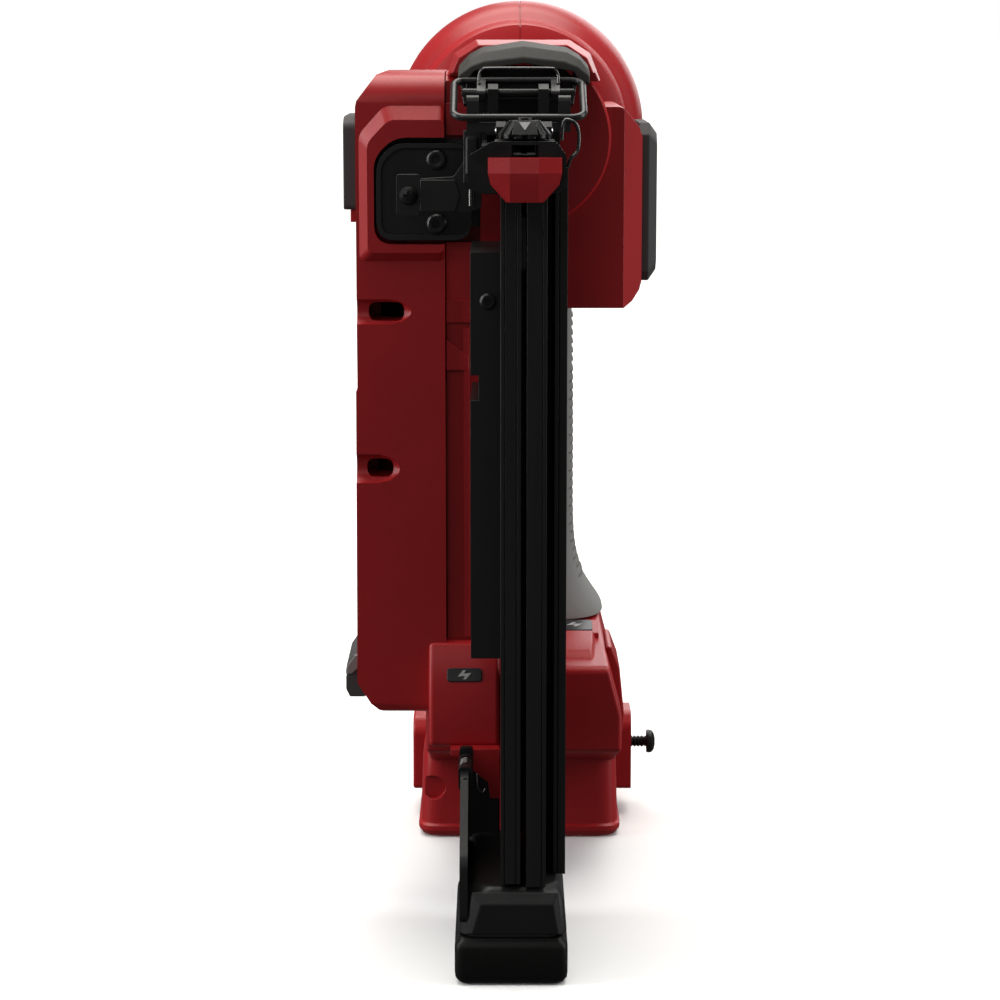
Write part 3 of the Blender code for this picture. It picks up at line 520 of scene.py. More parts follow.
def right_case():
    seen_from_nose = [(-1, 210), (34.5, 210), (37.6, 211.9), (40.2, 215.3), (41, 218),
                      (41, 267), (39.8, 270.4), (34.4, 276.8), (32.6, 277.5), (-1, 277.5)]
    seen_from_above = [(-2, -124), (34.3, -124), (41.5, -111), (41.5, -58), (-2, -58)]
    case = keep(prism(seen_from_nose, "Y", -125, -57), prism(seen_from_above, "Z", 209, 279))
    shell(case, "right_case", edge=1.4, segments=4)
    ridge = skin([[(-23.5, -144, 288), (-21, -144, 293.8), (-14.5, -144, 298.0),
                   (14.5, -144, 298.0), (21, -144, 293.8), (24.5, -144, 286)],
                  [(-25, -128, 288), (-22.5, -128, 295.2), (-15.5, -128, 299.6),
                   (15.5, -128, 299.6), (22.5, -128, 295.2), (26, -128, 286)],
                  [(-25, -60, 288), (-22, -60, 294.0), (-14.5, -60, 296.6),
                   (14.5, -60, 296.6), (22, -60, 294.0), (26, -60, 286)]])
    cut(ridge, block((-30, -160, 280), (30, -134.6, 288.8)))
    finish(ridge, "hood_ridge", "red", "frame", edge=1.0)


def neck():
    outline = rounded(rectangle(-20, -38, 20, 12), 7)
    part = prism(outline, "Z", 206.4, 236)
    cut(part, block((-8.6, -45, 200), (8.6, -28, 216.5)))
    shell(part, "grip_neck", edge=1.2)


def bridge():
    side = [(-94, 46.6), (-94, 76.6), (-91.6, 78.0), (-60, 80.4), (-29, 83.2), (18, 83.2),
            (20, 81), (20, 30), (-44, 30), (-60, 36)]
    front = [(-34, 25), (36.4, 25), (36.4, 60), (30.2, 84), (-29, 84), (-34, 62)]
    part = keep(prism(side, "X", -40, 40), prism(front, "Y", -100, 30))
    cut(part, block((-60, -96, 71.0), (3.2, -73.6, 90)))
    shell(part, "foot_bridge", edge=2.0, segments=4)
    wedge = [(-84, 76), (-84, 78.4), (-80, 81.2), (-61, 84.0), (-59.6, 83.6), (-59.6, 76)]
    near = [(x, -86, z) for x, z in ((6, 76), (27.4, 76), (23.0, 84.8), (6, 84.8))]
    far = [(x, -58, z) for x, z in ((6, 76), (30.0, 76), (25.6, 88), (6, 88))]
    part = keep(prism(wedge, "X", 0, 40), skin([near, far]))
    finish(part, "light_housing", "red", "frame", edge=1.0)
    seat = [(-58.6, 78), (-58.6, 82.6), (-44.0, 84.4), (-43.0, 78)]
    finish(prism(seat, "X", 12.6, 29.2), "light_seat", "red", "frame", edge=0.5, segments=2)
    rib = [(34.0, 47), (37.6, 47), (38.4, 54), (36.6, 72), (33.6, 80), (31.6, 80)]
    shell(prism(rib, "Y", -70, -40), "bridge_rib", edge=0.8)


def front_block():
    outline = [(-141.0, 61.4), (-141.0, 83.2), (-135.0, 95.6), (-133.6, 96.8), (-130, 96.8),
               (-130, 72), (-84, 72), (-84, 52), (-120, 57.5)]
    part = prism(outline, "X", -31.8, -7.3)
    shell(part, "front_block", edge=1.8, segments=4)
    gusset = [(-24.2, 61.8), (-7.6, 61.8), (-7.6, 44.6), (-10.6, 44.6), (-11.4, 50.5),
              (-13.2, 51.6)]
    plate = prism(gusset, "Y", -146.2, -144.2)
    fuse(plate, block((-24.2, -146.2, 59.6), (-7.6, -132, 61.9)))
    finish(plate, "magazine_gusset", "red", "frame", edge=0.6)
    path = [(-15.0, -144.0, 58), (-14.9, -144.9, 52), (-14.6, -145.4, 48.4),
            (-13.2, -145.6, 46.6), (-12.2, -145.4, 48.0)]
    finish(sweep(smooth_path(path, 5), 0.5), "gusset_spring", "wire", "frame", sharp=60)


def foot_box():
    rings = []
    for height, grow in ((0.6, -0.8), (2.6, 0.4), (4.4, 0.4), (5.2, -0.5), (30, -1.2),
                         (35, -2.0), (36.4, -3.6)):
        half_x, half_y = 38 + grow, 46 + grow
        outline = rounded(rectangle(-half_x, -half_y, half_x, half_y), 8, 7)
        rings.append([(x, y, height) for x, y in outline])
    foot = skin(rings)
    cut(foot, block((-25, -38, -4), (25, 60, 11)), block((-29, -38, 5), (29, 60, 11)),
        revolve([(0, -48.5), (4.6, -48.5), (4.6, -42), (0, -42)], "Y", (-32.6, 19.2), 40))
    shell(foot, "foot_box", edge=0.9)
    for name, inner, outer, top in (("hook_boss_right", 34, 43.8, 40.5),
                                    ("hook_boss_left", -34, -41.3, 38.5)):
        outline = [(-15, 10), (8, 10), (8, top - 6), (4, top), (-11, top), (-15, top - 5)]
        low, high = sorted((inner, outer))
        boss = prism(rounded(outline, 2), "X", low, high)
        if outer > 0:
            cut(boss, rod("X", HOOK_SCREW, 2.3, 40, 46, 32))
        else:
            cut(boss, rod("X", HOOK_SCREW, 2.0, -46, -38, 32))
        shell(boss, name, edge=1.0)


def gear_case_front():
    """Black cover in the pocket, with its two screw bosses and a raised rim."""
    outer = rounded([(-48.3, 234), (-17, 234), (-17, 266), (-42.5, 266), (-48.3, 260)], 6.0, 8)
    cover = prism(outer, "Y", -137.6, -131)
    inner = rounded([(-46.8, 235.6), (-17, 235.6), (-17, 264.4), (-41.7, 264.4),
                     (-46.8, 259.2)], 5.0, 8)
    cut(cover, prism(inner, "Y", -150, -135.8))
    for height in (239.4, 260.6):
        fuse(cover, revolve([(0, -137.8), (2.7, -137.8), (3.3, -137.2), (3.6, -134), (0, -134)],
                            "Y", (-28.4, height), 40))
        cut(cover, rod("Y", (-28.4, height), 1.5, -150, -136.6, 24))
    finish(cover, "gear_cover", "coated", "frame", ("gear_case_cover",), edge=0.4, segments=2)


# ---- grip, pads, foot details

def grip_section(height):
    """Flare towards the base, swell of the middle, and the half width of the grip there."""
    rise = height - GRIP_BASE
    flare = math.exp(-(rise / FLARE_HEIGHT) ** FLARE_POWER)
    swell = math.sin(math.pi * rise / (GRIP_TOP - GRIP_BASE))
    return flare, swell, 19.6 + 12.4 * flare + 0.5 * swell


def grip():
    """Soft sleeve, pinched under the neck and flared at its base, with studs on both sides."""
    around, rows = 160, 150
    rings = []
    for i in range(rows + 1):
        t = i / rows
        height = GRIP_BASE + (GRIP_TOP - GRIP_BASE) * t
        flare, swell, half_x = grip_section(height)
        front = -38.0 - 4.2 * flare + 0.8 * swell
        back = 11.0 + 6.5 * flare + 1.6 * math.sin(math.pi * min(1, 1.15 * t))
        middle, half_y = (front + back) / 2, (back - front) / 2
        ring = []
        for k in range(around):
            angle = 2 * math.pi * k / around
            c, s = math.cos(angle), math.sin(angle)
            power = 2 / GRIP_POWER
            ring.append((half_x * math.copysign(abs(c) ** power, c),
                         middle + half_y * math.copysign(abs(s) ** power, s), height))
        rings.append(ring)
    sleeve = skin(rings)
    cut(sleeve, block((-9.4, -60, 180.5), (9.4, -31, 215)))
    finish(sleeve, "grip_sleeve", "grip", "frame", ("grip",), sharp=50)
    grip_studs()


def grip_studs():
    """Rows of low diamond studs on both sides of the grip."""
    bm = bmesh.new()
    pitch, half, depth = 3.4, 1.05, 0.5
    for side in (-1, 1):
        for row in range(30):
            height = 98 + row * pitch
            flare, swell, half_x = grip_section(height)
            middle = -13.5 + 1.1 * flare + 1.2 * swell
            half_y = 24.5 + 5.3 * flare + 0.4 * swell
            for column in range(9):
                y = -27 + (column + 0.5 * (row % 2)) * pitch
                if height > 178 and y < -20:
                    continue
                across = min(1.0, abs((y - middle) / half_y))
                x = half_x * max(0.0, 1 - across ** GRIP_POWER) ** (1 / GRIP_POWER)
                low, high = [[bm.verts.new(Vector((side * level, y + u * reach,
                                                   height + v * reach)) * MM)
                              for u, v in ((-1, 0), (0, -1), (1, 0), (0, 1))]
                             for level, reach in ((x - depth, half * 1.2),
                                                  (x + depth, half * 0.5))]
                bm.faces.new(low)
                bm.faces.new(high)
                for i in range(4):
                    j = (i + 1) % 4
                    bm.faces.new((low[i], low[j], high[j], high[i]))
    finish(from_bmesh(bm), "grip_studs", "grip", "frame", sharp=60)


def side_pads():
    outline = [(-108, 221), (-104, 217.6), (-70, 217.6), (-66, 221), (-66, 267.6),
               (-70, 271.6), (-104, 271.6), (-108, 267.6)]
    pad = skin([[(40.2, y, z) for y, z in outline],
                [(43.6, y, z) for y, z in outline],
                [(46.4, -87 + (y + 87) * 0.86, 244.6 + (z - 244.6) * 0.86) for y, z in outline]])
    for i in range(7):
        low = 226 + i * 5.6
        slot_cut = rounded(rectangle(-99, low, -75, low + 2.4), 1.0)
        cut(pad, prism(slot_cut, "X", 45.7, 48))
    finish(pad, "pad_right", "rubber", "frame", ("bumper_right",), edge=0.7)
    outline = rounded([(-128, 243.4), (-82, 243.4), (-82, 273), (-88, 274.4), (-122, 274.4),
                       (-128, 272)], 2)
    pad = prism(outline, "X", -59.8, -54)
    for i in range(6):
        y = -121 + i * 6.4
        cut(pad, block((-61, y, 248), (-58.9, y + 3.4, 270)))
    finish(pad, "pad_left_upper", "rubber", "frame", ("bumper_left_upper",), edge=0.8)
    outline = [(-54, 89.8), (-58.2, 89.8), (-60.4, 86.6), (-60.7, 84.5), (-60.7, 78.0),
               (-59.4, 75.2), (-54, 75.2)]
    pad = prism(outline, "Y", -126, -92)
    cut(pad, block((-62, -130, 82.6), (-58.6, -80, 83.2)))
    finish(pad, "pad_left_lower", "rubber", "frame", ("bumper_left_lower",), edge=0.9)
    cap = [(-54, 90.0), (-57.6, 90.0), (-60.2, 86.4), (-60.4, 83.4), (-58.6, 83.4), (-56, 86)]
    finish(prism(cap, "Y", -126.6, -124.4), "pad_lower_facet", "grip", "frame", edge=0.3)
    clip = block((-57.6, -126, 239.2), (-54.2, -84, 260))
    for i in range(5):
        cut(clip, block((-58.4, -130, 243.4 + i * 3.2), (-57.0, -80, 244.8 + i * 3.2)))
    finish(clip, "pad_clip", "red", "frame", edge=0.4, segments=2)


def indicator(name, centre, half_x, half_y, tilt, stands_for):
    """Dark window with a pale bolt-shaped mark."""
    window = prism(rounded(rectangle(-half_x, -half_y, half_x, half_y), 1.4), "Z", -1.4, 0.5)
    turn = Matrix.Translation(Vector(centre) * MM) @ Matrix.Rotation(math.radians(tilt), 4, "X")
    window.data.transform(turn)
    body = "mode_button" if "mode" in name else "frame"
    finish(window, name, "lens", body, stands_for, edge=0.3, segments=2)
    scale = min(1.0, 0.3 * half_y)
    mark = [(-3.2, -0.9), (-0.6, 2.2), (0.7, 2.2), (-0.4, 0.5), (3.2, 0.9), (0.6, -2.2),
            (-0.7, -2.2), (0.4, -0.5)]
    mark = [(scale * u, scale * v) for u, v in mark]
    glyph = prism(mark, "Z", 0.45, 0.62)
    glyph.data.transform(turn)
    finish(glyph, name + "_mark", "mark", body)


def hook_screw():
    """Belt-hook screw, turned part way out: rolled thread, washer face and crossed head."""
    y, z = HOOK_SCREW
    shank = [(0, 34), (1.75, 34)]
    turns = 8
    for i in range(turns):
        at = 38.0 + i * 1.4
        shank += [(1.75, at), (2.25, at + 0.55), (2.25, at + 0.8), (1.75, at + 1.35)]
    shank += [(1.9, 49.5), (2.1, 50.1), (4.4, 50.3), (4.6, 51.0), (4.4, 52.2), (3.4, 53.1),
              (1.6, 53.6), (0, 53.7)]
    screw = revolve(shank, "X", (y, z), 48)
    cross = block((51.9, y - 2.0, z - 0.4), (55, y + 2.0, z + 0.4))
    fuse(cross, block((51.9, y - 0.4, z - 2.0), (55, y + 0.4, z + 2.0)))
    cut(screw, cross)
    finish(screw, "hook_screw", "dark_steel", "frame", ("belt_hook_screw",), sharp=30)


# ---- nose

def hood():
    """Faceted rubber hood of the latch lever over black cheeks that reach its pin."""
    front = [(-20.8, 286.0), (-20.6, 288.6), (-16.6, 291.4), (-12.6, 292.8), (0, 294.2),
             (13.0, 292.8), (17.4, 291.2), (21.0, 288.4), (21.2, 285.8), (18.4, 286.4),
             (16.0, 289.6), (0, 292.2), (-15.6, 289.8), (-18.0, 286.6)]
    rear = [(-20.8, 287.0), (-20.8, 291.4), (-17.2, 295.2), (-13, 297.4), (0, 299.4),
            (14, 297.4), (18.2, 295.0), (21.2, 291.6), (21.2, 287.0), (18.6, 288.0),
            (16.2, 292.2), (0, 295.6), (-15.8, 292.4), (-18.2, 288.2)]
    lever = skin([[(u, -166.6, v) for u, v in front],
                  [(u, -163.4, v - 1.6) for u, v in rear],
                  [(u, -146.2, v) for u, v in rear]])
    # The hood's rubber is a lighter copy of the grip's: painted light on top of the tool.
    finish(lever, "latch_hood", "hood", "latch_lever", ("jam_latch_lever",), edge=0.5)
    for name, side in (("left", -1), ("right", 1)):
        outline = rounded([(-173.0, 283.4), (-171.8, 280.6), (-168, 280.4), (-158, 287),
                           (-148, 291), (-148, 293), (-160, 291.6), (-166, 288.4)], 1.4)
        cheek = beside(outline, side, 10.4, 13.1)
        cut(cheek, rod("X", LEVER_AXIS, 1.6, -20, 20, 24), rod("X", BAIL_AXIS, 1.3, -18, 16, 24))
        finish(cheek, f"hood_cheek_{name}", "coated", "latch_lever", edge=0.4, segments=2)
    for name, near, far, lean in (("left", -20.2, -18.9, 1.2), ("right", 15.9, 17.2, -1.2)):
        outline = [(-165.5, 287), (-168.5, 279.6), (-163.5, 278.6), (-150, 288.6), (-150, 290)]
        flap = skin([[(near if v > 283 else near + lean, u, v) for u, v in outline],
                     [(far if v > 283 else far + lean, u, v) for u, v in outline]])
        finish(flap, f"hood_flap_{name}", "coated", "latch_lever", edge=0.3, segments=2)
    inner = [(-18.6, 280.4), (-18.4, 287.6), (-14, 291.6), (12, 291.6), (16.4, 287.6),
             (16.6, 280.4)]
    finish(prism(inner, "Y", -151.4, -149.0), "hood_lining", "coated", "latch_lever", edge=0.4)
    loop = [(-14.0, -169.4, 286.0), (-14.1, -168.6, 288.4), (-13.0, -168.4, 290.4),
            (-10, -168.4, 290.8), (7, -168.4, 290.8), (10, -168.4, 290.4),
            (11.1, -168.6, 288.4), (11.0, -169.4, 286.0)]
    finish(sweep(smooth_path(loop, 4), 0.5), "hood_wire", "wire", "latch_lever", sharp=60)


def bail():
    """Closed loop of round wire from the lever's pivot to in front of the door's hooks."""
    corner, half = 3.6, 20.3
    back, front = Vector((LATCH_X, *BAIL_AXIS)), Vector((LATCH_X, -188.9, 276))
    length = (front - back).length
    ahead = (front - back) / length
    points = []
    for x, s, quarter in ((half, 0, 3), (half, length, 0), (-half, length, 1), (-half, 0, 2)):
        centre_x = x - math.copysign(corner, x)
        centre_s = s + corner if s == 0 else s - corner
        for i in range(9):
            angle = (quarter + i / 8) * math.pi / 2
            points.append(back + Vector((centre_x + corner * math.cos(angle), 0, 0))
                          + ahead * (centre_s + corner * math.sin(angle)))
    finish(sweep(points, 1.15, closed=True), "bail_wire", "coated", "latch_bail",
           ("latch_bail",), sharp=60)


def beside(outline, side, inner, outer, middle=LATCH_X):
    """A prism along X between two distances on one side of the middle."""
    return prism(outline, "X", *sorted((middle + side * inner, middle + side * outer)))


def nose_block():
    body = block((-13, -215.5, 254), (9, -134, 268.4))
    fuse(body, block((-13, -173.8, 256), (9, -134, 276)),
         block((-15, -134.5, 251), (12.4, -130.8, 285.6)))
    for side in (-1, 1):
        lug = [(-174, 270), (-174, 284.4), (-171.6, 286), (-168.4, 286), (-167.4, 284),
               (-163, 274), (-163, 270)]
        knuckle = [(-197, 266), (-197, 273.4), (-195.4, 275), (-192.6, 275),
                   (-191.2, 273.4), (-191.2, 266)]
        fuse(body, beside(lug, side, 6.4, 9.6), beside(knuckle, side, 5.6, 8.6, 0))
    cut(body, block((-3.4, -230, 265.6), (3.4, -120, 270)),
        block((-11.5, -191, 265.6), (0, -120, 270)), block((-0.9, -206, 250), (0.9, -148, 267)))
    for y in (-206, -199):
        cut(body, rod("X", (y, 260), 1.6, 6, 12, 24))
    cut(body, rod("X", LEVER_AXIS, 1.6, -20, 20, 24))
    finish(body, "nose_block", "dark_steel", "frame", ("nosepiece",), edge=0.5, segments=2)
    for name, x in (("nose_screw_right", 7.6), ("nose_screw_left", -10.2)):
        socket_screw(name, "Y", (x, 281.5), 2.4, -136.2, -134.2, -1)


def door():
    plate = block((-5.2, -193.4, 268.8), (5.2, -174.2, 272))
    fuse(plate, rod("X", DOOR_AXIS, 2.6, -5.2, 5.2, 32),
         block((LATCH_X - 16.2, -187, 271.5), (LATCH_X + 16.2, -183.5, 274.4)))
    for side in (-1, 1):
        hook = rounded([(-187, 272), (-187, 281.6), (-185.8, 283), (-183.9, 281.8),
                        (-183.5, 272)], 0.9)
        fuse(plate, beside(hook, side, 12.4, 16.2))
    for x in (-2.6, 2.6):
        cut(plate, block((x - 0.5, -191, 271.4), (x + 0.5, -177, 273)))
    cut(plate, rod("X", DOOR_AXIS, 1.4, -20, 20, 24))
    finish(plate, "door_plate", "coated", "jam_door", ("jam_door",), edge=0.4, segments=2)


def pins():
    pin = revolve([(0, -19.6), (1.0, -19.6), (1.4, -19.1), (1.4, 15.9), (1.0, 16.4),
                   (0, 16.4)], "X", LEVER_AXIS, 32)
    finish(pin, "lever_pin", "coated", "frame", ("latch_pin",), sharp=40)
    pin = revolve([(0, -8.9), (0.9, -8.9), (1.2, -8.6), (1.2, 8.6), (0.9, 8.9), (0, 8.9)],
                  "X", DOOR_AXIS, 32)
    finish(pin, "door_pin", "steel", "frame", ("jam_door_pin",), sharp=40)


def contact():
    foot = prism(rounded([(-16.8, 256.5), (-14, 255), (10.5, 255), (12.4, 257), (12.4, 266),
                          (9.4, 270.2), (-9.6, 270.2), (-16.8, 266)], 0.8), "Y", -228, -224.8)
    fuse(foot, block((-16.8, -226, 256), (-13.4, -157.3, 264)),
         block((9.4, -226, 256), (12.4, -206, 264)), block((-9, -226, 268.8), (9, -209, 270.2)),
         rod("Z", WHEEL_AXIS, 2.2, 269.5, 276.9, 32))
    cut(foot, block((-4, -230, 263.8), (4, -222, 269.2)))
    finish(foot, "contact_shoe", "dark_steel", "contact", ("contact_foot",), edge=0.4,
           segments=2)
    path = [(11.2, -214, 270.0), (11.6, -214, 274.6), (12.6, -214, 276.2), (15.4, -214, 274.9),
            (16.4, -214, 271.5), (16.0, -214, 267.0), (14.0, -214, 264.6), (13.2, -212, 262.0)]
    finish(sweep(smooth_path(path, 5), 0.55), "guard_wire", "wire", "contact", sharp=60)


def smooth_path(points, between):
    """Points of a smooth curve through the given ones."""
    source = [Vector(p) for p in points]
    made = []
    for i in range(len(source) - 1):
        before = source[max(i - 1, 0)]
        start, end = source[i], source[i + 1]
        after = source[min(i + 2, len(source) - 1)]
        for k in range(between):
            t = k / between
            made.append(0.5 * ((2 * start) + (end - before) * t
                               + (2 * before - 5 * start + 4 * end - after) * t * t
                               + (3 * start - before - 3 * end + after) * t ** 3))
    made.append(source[-1])
    return made


def red_tip():
    """Faceted no-mar tip with a crease, narrowing downwards."""
    levels = ((265.5, 11.0, 9.6, -229.6, -231.4), (261.0, 11.0, 9.4, -230.6, -232.4),
              (257.6, 10.2, 8.6, -230.5, -232.3), (252.4, 5.6, 4.8, -230.2, -231.6))
    rings = []
    for height, outer, inner, side, front in levels:
        ring = [(-outer, -228.2), (-outer, side), (-inner, side - 0.5), (-4.5, front),
                (4.1, front), (inner, side - 0.5), (outer, side), (outer, -228.2)]
        rings.append([(x, y, height) for x, y in ring])
    finish(skin(rings), "red_tip", "red", "contact", ("no_mar_tip",), sharp=12)


def linkage():
    outline = rounded([(-41, 243.4), (-33.6, 243.4), (-33.4, 244.6), (-17, 244.6),
                       (-13.4, 246), (-13.4, 264), (-14.6, 266.5), (-17.6, 266.5),
                       (-19.4, 260.4), (-22.4, 256.0), (-33.2, 255.4), (-33.6, 256.8),
                       (-41, 256.8)], 1.0, 4)
    arm = prism(outline, "Y", -157, -154)
    fuse(arm, prism([(-33.2, 245), (-22, 245), (-20.4, 250), (-22, 255), (-33.2, 255)], "Y",
                    -158.2, -156))
    cut(arm, rod("Y", LINKAGE_SCREW, 1.5, -160, -150, 24))
    finish(arm, "linkage_arm", "coated", "contact", ("contact_linkage_arm",), edge=0.7,
           segments=4)
    stack = block((-19.2, -160.5, 254.0), (-13.2, -157.2, 271.0))
    fuse(stack, block((-18.2, -161.4, 257), (-14.6, -160, 268.6)))
    finish(stack, "linkage_clamp", "coated", "contact", edge=0.6)
    finish(rod("Z", (-16.6, -162.2), 1.0, 247.0, 256.6, 24), "linkage_rod", "wire", "contact")
    head = revolve([(0, -160.2), (1.4, -160.1), (2.5, -159.5), (3.0, -158.4), (3.0, -157.2),
                    (0, -157.2)], "Y", LINKAGE_SCREW, 40)
    x, z = LINKAGE_SCREW
    cross = block((x - 1.7, -162, z - 0.35), (x + 1.7, -159.2, z + 0.35))
    fuse(cross, block((x - 0.35, -162, z - 1.7), (x + 0.35, -159.2, z + 1.7)))
    cut(head, cross)
    finish(head, "linkage_screw_head", "dark_steel", "contact", ("linkage_screw",), sharp=32)
    coil = sweep(helix("Y", LINKAGE_SCREW, 3.4, -153.2, -138.6, 6), 0.45, sides=10)
    finish(coil, "return_spring", "wire", "frame", ("contact_spring",), sharp=60)


def thumb_wheel():
    """Depth wheel: scalloped rim with a chamfered top that carries a small pointer."""
    teeth, outer, notch, notch_from = 12, 8.0, 1.1, -0.25
    levels = ((270.5, 0.94), (271.0, 1.0), (272.2, 1.0), (276.1, 0.60))
    rings = []
    for height, scale in levels:
        ring = []
        for i in range(teeth * 10):
            angle = 2 * math.pi * i / (teeth * 10)
            bite = min(1, max(0, notch_from - math.cos(teeth * angle)) * 2)
            radius = scale * (outer - notch * bite)
            ring.append((WHEEL_AXIS[0] + radius * math.cos(angle + math.pi / teeth),
                         WHEEL_AXIS[1] + radius * math.sin(angle + math.pi / teeth), height))
        rings.append(ring)
    wheel = cut(skin(rings), rod("Z", WHEEL_AXIS, 2.5, 260, 280, 32))
    finish(wheel, "thumb_wheel", "black", "depth_wheel", ("depth_wheel",), sharp=28)
    plate = [(-3.2, -223.2, 276.3), (3.2, -223.2, 276.3), (4.0, -226.0, 272.0),
             (-4.0, -226.0, 272.0)]
    panel = skin([[(x, y + 1.4, z - 1.0) for x, y, z in plate], plate])
    finish(panel, "wheel_panel", "black", "depth_wheel", edge=0.3, segments=2)
    front = [(-1.7, -223.7, 275.7), (1.7, -223.7, 275.7), (0.0, -225.2, 273.4)]
    pointer = skin([[(x, y + 0.2, z - 0.2) for x, y, z in front],
                    [(x, y - 0.12, z + 0.1) for x, y, z in front]])
    finish(pointer, "wheel_pointer", "mark", "depth_wheel")


# ---- magazine

def magazine():
    """Fixed rail with its side bar, and the sliding cover with its own rail on the right."""
    rail = block((-7.2, -204, 33), (-0.9, -138.5, 253.5))
    fuse(rail, block((-16.8, -186, 103), (-5.2, -140, 234)))
    cut(rail, block((-19, -190, 187), (-14.2, -130, 195)),
        block((-5.6, -176, 30), (0, -160, 247)), block((-5.6, -158, 236), (0, -146, 247)),
        block((-2.6, -206, 30), (-2.1, -203.4, 260)),
        block((-7.6, -200.4, 30), (-6.4, -198.6, 260)),
        prism([(-6.4, -205), (-5.6, -205), (-6.0, -203.4)], "Z", 30, 260))
    finish(rail, "rail_fixed", "anodised", "frame", ("magazine_rail",), edge=0.5, segments=2)
    screw = socket_screw("rail_screw_head", "Y", (-11.2, 218.6), 2.6, -188.0, -186.0, -1)
    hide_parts("rail_screw")
    cover = block((0.9, -204, 32), (7.2, -138.5, 253.5))
    fuse(cover, block((6.2, -150, 32), (12, -140, 253.5)),
         block((9.8, -190, 32), (13.8, -140, 260.6)))
    cut(cover, block((6.4, -200.4, 28), (7.6, -198.6, 260)),
        prism([(5.4, -205), (6.2, -205), (5.8, -203.4)], "Z", 28, 262),
        prism([(10.8, -191), (11.6, -191), (11.2, -189.4)], "Z", 28, 262))
    for i in range(5):
        low = 60 + i * 38
        slot_cut = rounded(rectangle(-168, low, -163, low + 26), 2.4)
        cut(cover, prism(slot_cut, "X", 9, 15))
    finish(cover, "cover_sliding", "anodised", "magazine_slider", ("magazine_cover",), edge=0.5,
           segments=2)
    liner = block((-1.2, -149.5, 33.5), (0.8, -139.2, 252))
    finish(liner, "rail_liner", "anodised", "frame", edge=0.2, segments=2)


def magazine_end():
    """End cap: shoulders under the rails, a sloping left wall and a rubber foot."""
    rings = []
    for height, left, right, front, back in ((15.7, -21.0, 14.2, -206.2, -138.9),
                                             (26.0, -20.2, 13.4, -205.6, -139.2),
                                             (30.0, -18.0, 12.0, -203.6, -139.6),
                                             (32.0, -15.6, 10.6, -201.6, -140.0)):
        outline = rounded([(left, back), (left, front + 5), (left + 5, front),
                           (right - 5, front), (right, front + 5), (right, back)], 2.0)
        rings.append([(x, y, min(height, 31.7)) for x, y in outline])
    finish(skin(rings), "end_cap", "black", "magazine_slider", ("magazine_end_cap",), edge=0.7)
    brow = skin([[(-16.4, -206.3, 17), (11.4, -206.3, 17), (9.6, -206.3, 27),
                  (-13.4, -206.3, 27)],
                 [(-19.0, -204.0, 16), (13.0, -204.0, 16), (11.6, -204.0, 30.6),
                  (-16.6, -204.0, 30.6)]])
    finish(brow, "cap_brow", "black", "magazine_slider", edge=0.5)
    outline = [(-204.8, 20), (-147.2, 20), (-147.2, 60), (-149.6, 62.6), (-178.2, 62.6),
               (-203.4, 40)]
    wall = prism(rounded(outline, 3), "X", -20.4, -17.8)
    cut(wall, block((-23, -173, 42), (-15, -152, 84)))
    for near in (-176, -152):
        lug = prism(rounded([(-21.1, 56), (-16.5, 56), (-16.5, 64), (-21.1, 64)], 1.4), "Y",
                    near, near + 3)
        fuse(wall, lug)
    cut(wall, rod("Y", CATCH_AXIS, 1.3, -180, -140, 20))
    finish(wall, "cap_wall", "black", "magazine_slider", edge=0.6)
    panel = block((-18.4, -143.4, 28), (-7.5, -139.2, 57.5))
    finish(panel, "cap_panel", "black", "magazine_slider", edge=0.6)
    rings = []
    for height, grow in ((0.0, -1.7), (0.8, -0.6), (2.2, 0.2), (3.6, 0.4), (12.0, 0.4),
                         (13.6, 0.1), (14.6, -0.9), (15.4, -1.2)):
        outline = rounded([(-21.6 - grow, -138.9 + 0.2 * grow), (-21.6 - grow, -206.6 - grow),
                           (14.0 + grow, -206.6 - grow), (14.0 + grow, -138.9 + 0.2 * grow)],
                          3.4, 6)
        rings.append([(x, y, height) for x, y in outline])
    finish(skin(rings), "end_foot", "base", "magazine_slider", ("magazine_foot",), sharp=50)


def magazine_catch():
    """Catch lever in the end cap's wall, ribbed at its lower end, with its coil."""
    catch = prism(rounded([(-20.2, 44.4), (-17.7, 44), (-17.6, 61.6), (-20.2, 62.0)], 0.9),
                  "Y", -172.2, -152.8)
    fuse(catch, rod("Y", CATCH_AXIS, 2.4, -172.2, -152.8, 32))
    cut(catch, rod("Y", CATCH_AXIS, 1.35, -180, -140, 24),
        block((-24, -164, 56.6), (-14, -156, 63.4)))
    for i in range(4):
        low = 46.2 + 1.8 * i
        cut(catch, block((-22, -174, low), (-19.9, -150, low + 0.8)))
    finish(catch, "catch_lever", "black", "magazine_latch", ("magazine_latch",), edge=0.3,
           segments=2)
    coil = sweep(helix("Y", CATCH_AXIS, 2.0, -163.2, -156.8, 6), 0.4, sides=10)
    finish(coil, "catch_spring", "wire", "magazine_slider", ("magazine_latch_spring",),
           sharp=60)


# ---- trigger and inner parts

def trigger():
    """Finger lever with a hollowed front face."""
    outline = [(-26.4, 184), (-26.4, 206), (-27, 213), (-33, 213.6), (-39, 212), (-43, 207),
               (-44.6, 201), (-45.6, 194), (-48.2, 187.6), (-51, 184.4), (-49, 183.8)]
    part = prism(rounded(outline, 2.2), "X", -7.5, 7.5)
    cut(part, rod("X", TRIGGER_AXIS, 1.7, -20, 20, 24))
    for i in range(4):
        cut(part, block((-4.6, -60, 190 + 4 * i), (4.6, -45.2 + 0.45 * i, 191.4 + 4 * i)))
    finish(part, "trigger_lever", "red", "trigger", ("trigger",), edge=0.9, segments=4)


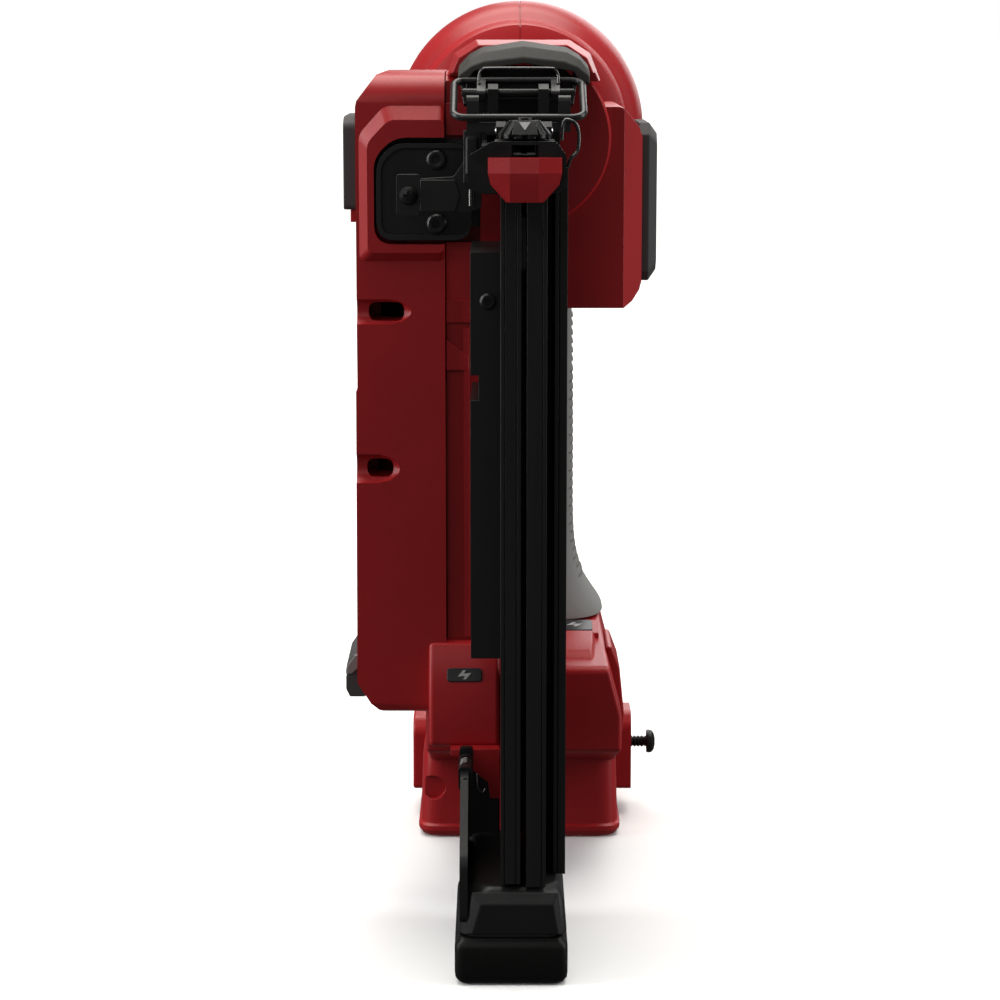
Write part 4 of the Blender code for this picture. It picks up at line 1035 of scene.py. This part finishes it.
def dress_carried_nodes():
    """Inner solids that keep their own shape get the finished materials."""
    look_of_slot = {}
    for look, (slot, *_) in LOOKS.items():
        look_of_slot.setdefault(slot, look)
    for entry in frame["record"]["subparts"]:
        name = entry["node"]
        carried = frame["nodes"][name]
        if carried.hide_render:
            continue
        look = CARRIED_LOOKS.get(name, look_of_slot[entry["material_slot"]])
        carried.data.materials.clear()
        carried.data.materials.append(material_of(look))


# ---- stage

def stage():
    """Pale floor that the camera sees, and that throws no light back at the part."""
    bm = bmesh.new()
    bmesh.ops.create_grid(bm, x_segments=1, y_segments=1, size=FLOOR_HALF)
    floor = from_bmesh(bm, "floor")
    floor.visible_diffuse = False
    floor.visible_glossy = False
    made, shader = new_material("floor_paper")
    shader.inputs["Base Color"].default_value = (0.96, 0.96, 0.96, 1.0)
    shader.inputs["Roughness"].default_value = 0.9
    shader.inputs["Specular IOR Level"].default_value = 0.0
    floor.data.materials.append(made)


def area_light(name, location, target, size, power):
    data = bpy.data.lights.new(name, "AREA")
    data.shape = "RECTANGLE"
    data.size, data.size_y = size
    data.energy = power
    lamp = bpy.data.objects.new(name, data)
    lamp.location = location
    way = Vector(target) - Vector(location)
    lamp.rotation_euler = way.to_track_quat("-Z", "Y").to_euler()
    link_in(lamp)


def lights():
    data = bpy.data.lights.new("overhead", "SUN")
    data.energy = SUN_POWER
    data.angle = math.radians(SUN_ANGLE)
    data.color = SUN_COLOUR
    sun = bpy.data.objects.new("overhead", data)
    sun.rotation_euler = Vector(SUN_WAY).to_track_quat("-Z", "Y").to_euler()
    link_in(sun)
    for lamp in LAMPS:
        area_light(*lamp)
    world = bpy.data.worlds.new("studio")
    bpy.context.scene.world = world
    world.use_nodes = True
    tree = world.node_tree
    tree.nodes.clear()
    white = (1.0, 1.0, 1.0, 1.0)
    seen = node(tree, "ShaderNodeBackground", Strength=ROOM_SEEN, Color=white)
    lit = node(tree, "ShaderNodeBackground", Strength=ROOM_LIGHT, Color=white)
    ray = node(tree, "ShaderNodeLightPath")
    blend = node(tree, "ShaderNodeMixShader")
    out = node(tree, "ShaderNodeOutputWorld")
    tree.links.new(ray.outputs["Is Camera Ray"], blend.inputs["Fac"])
    tree.links.new(lit.outputs["Background"], blend.inputs[1])
    tree.links.new(seen.outputs["Background"], blend.inputs[2])
    tree.links.new(blend.outputs["Shader"], out.inputs["Surface"])


def camera():
    data = bpy.data.cameras.new("camera")
    data.lens = CAMERA_LENS
    data.sensor_width = 36.0
    data.clip_start = 0.05
    data.clip_end = 60.0
    made = bpy.data.objects.new("camera", data)
    made.location = CAMERA_PLACE
    made.rotation_euler = (math.radians(CAMERA_PITCH), 0, 0)
    link_in(made)
    bpy.context.scene.camera = made
    bpy.context.scene.view_settings.view_transform = "Standard"


def build():
    camera()
    for make in (head_shell, head_end_cap, motor_column, motor_column_inner, right_case, neck,
                 bridge, front_block, foot_box, gear_case_front, grip, side_pads):
        make()
    indicator("light_window", (20.4, -51.2, 83.6), 6.6, 5.6, 7, ("light_lens",))
    indicator("mode_window", (-19.5, -139.5, 86.2), 6.0, 2.4, 63, ("mode_button",))
    for make in (hook_screw, hood, bail, nose_block, door, pins, contact, red_tip, linkage,
                 thumb_wheel, magazine, magazine_end, magazine_catch, trigger,
                 dress_carried_nodes, stage, lights):
        make()


build()
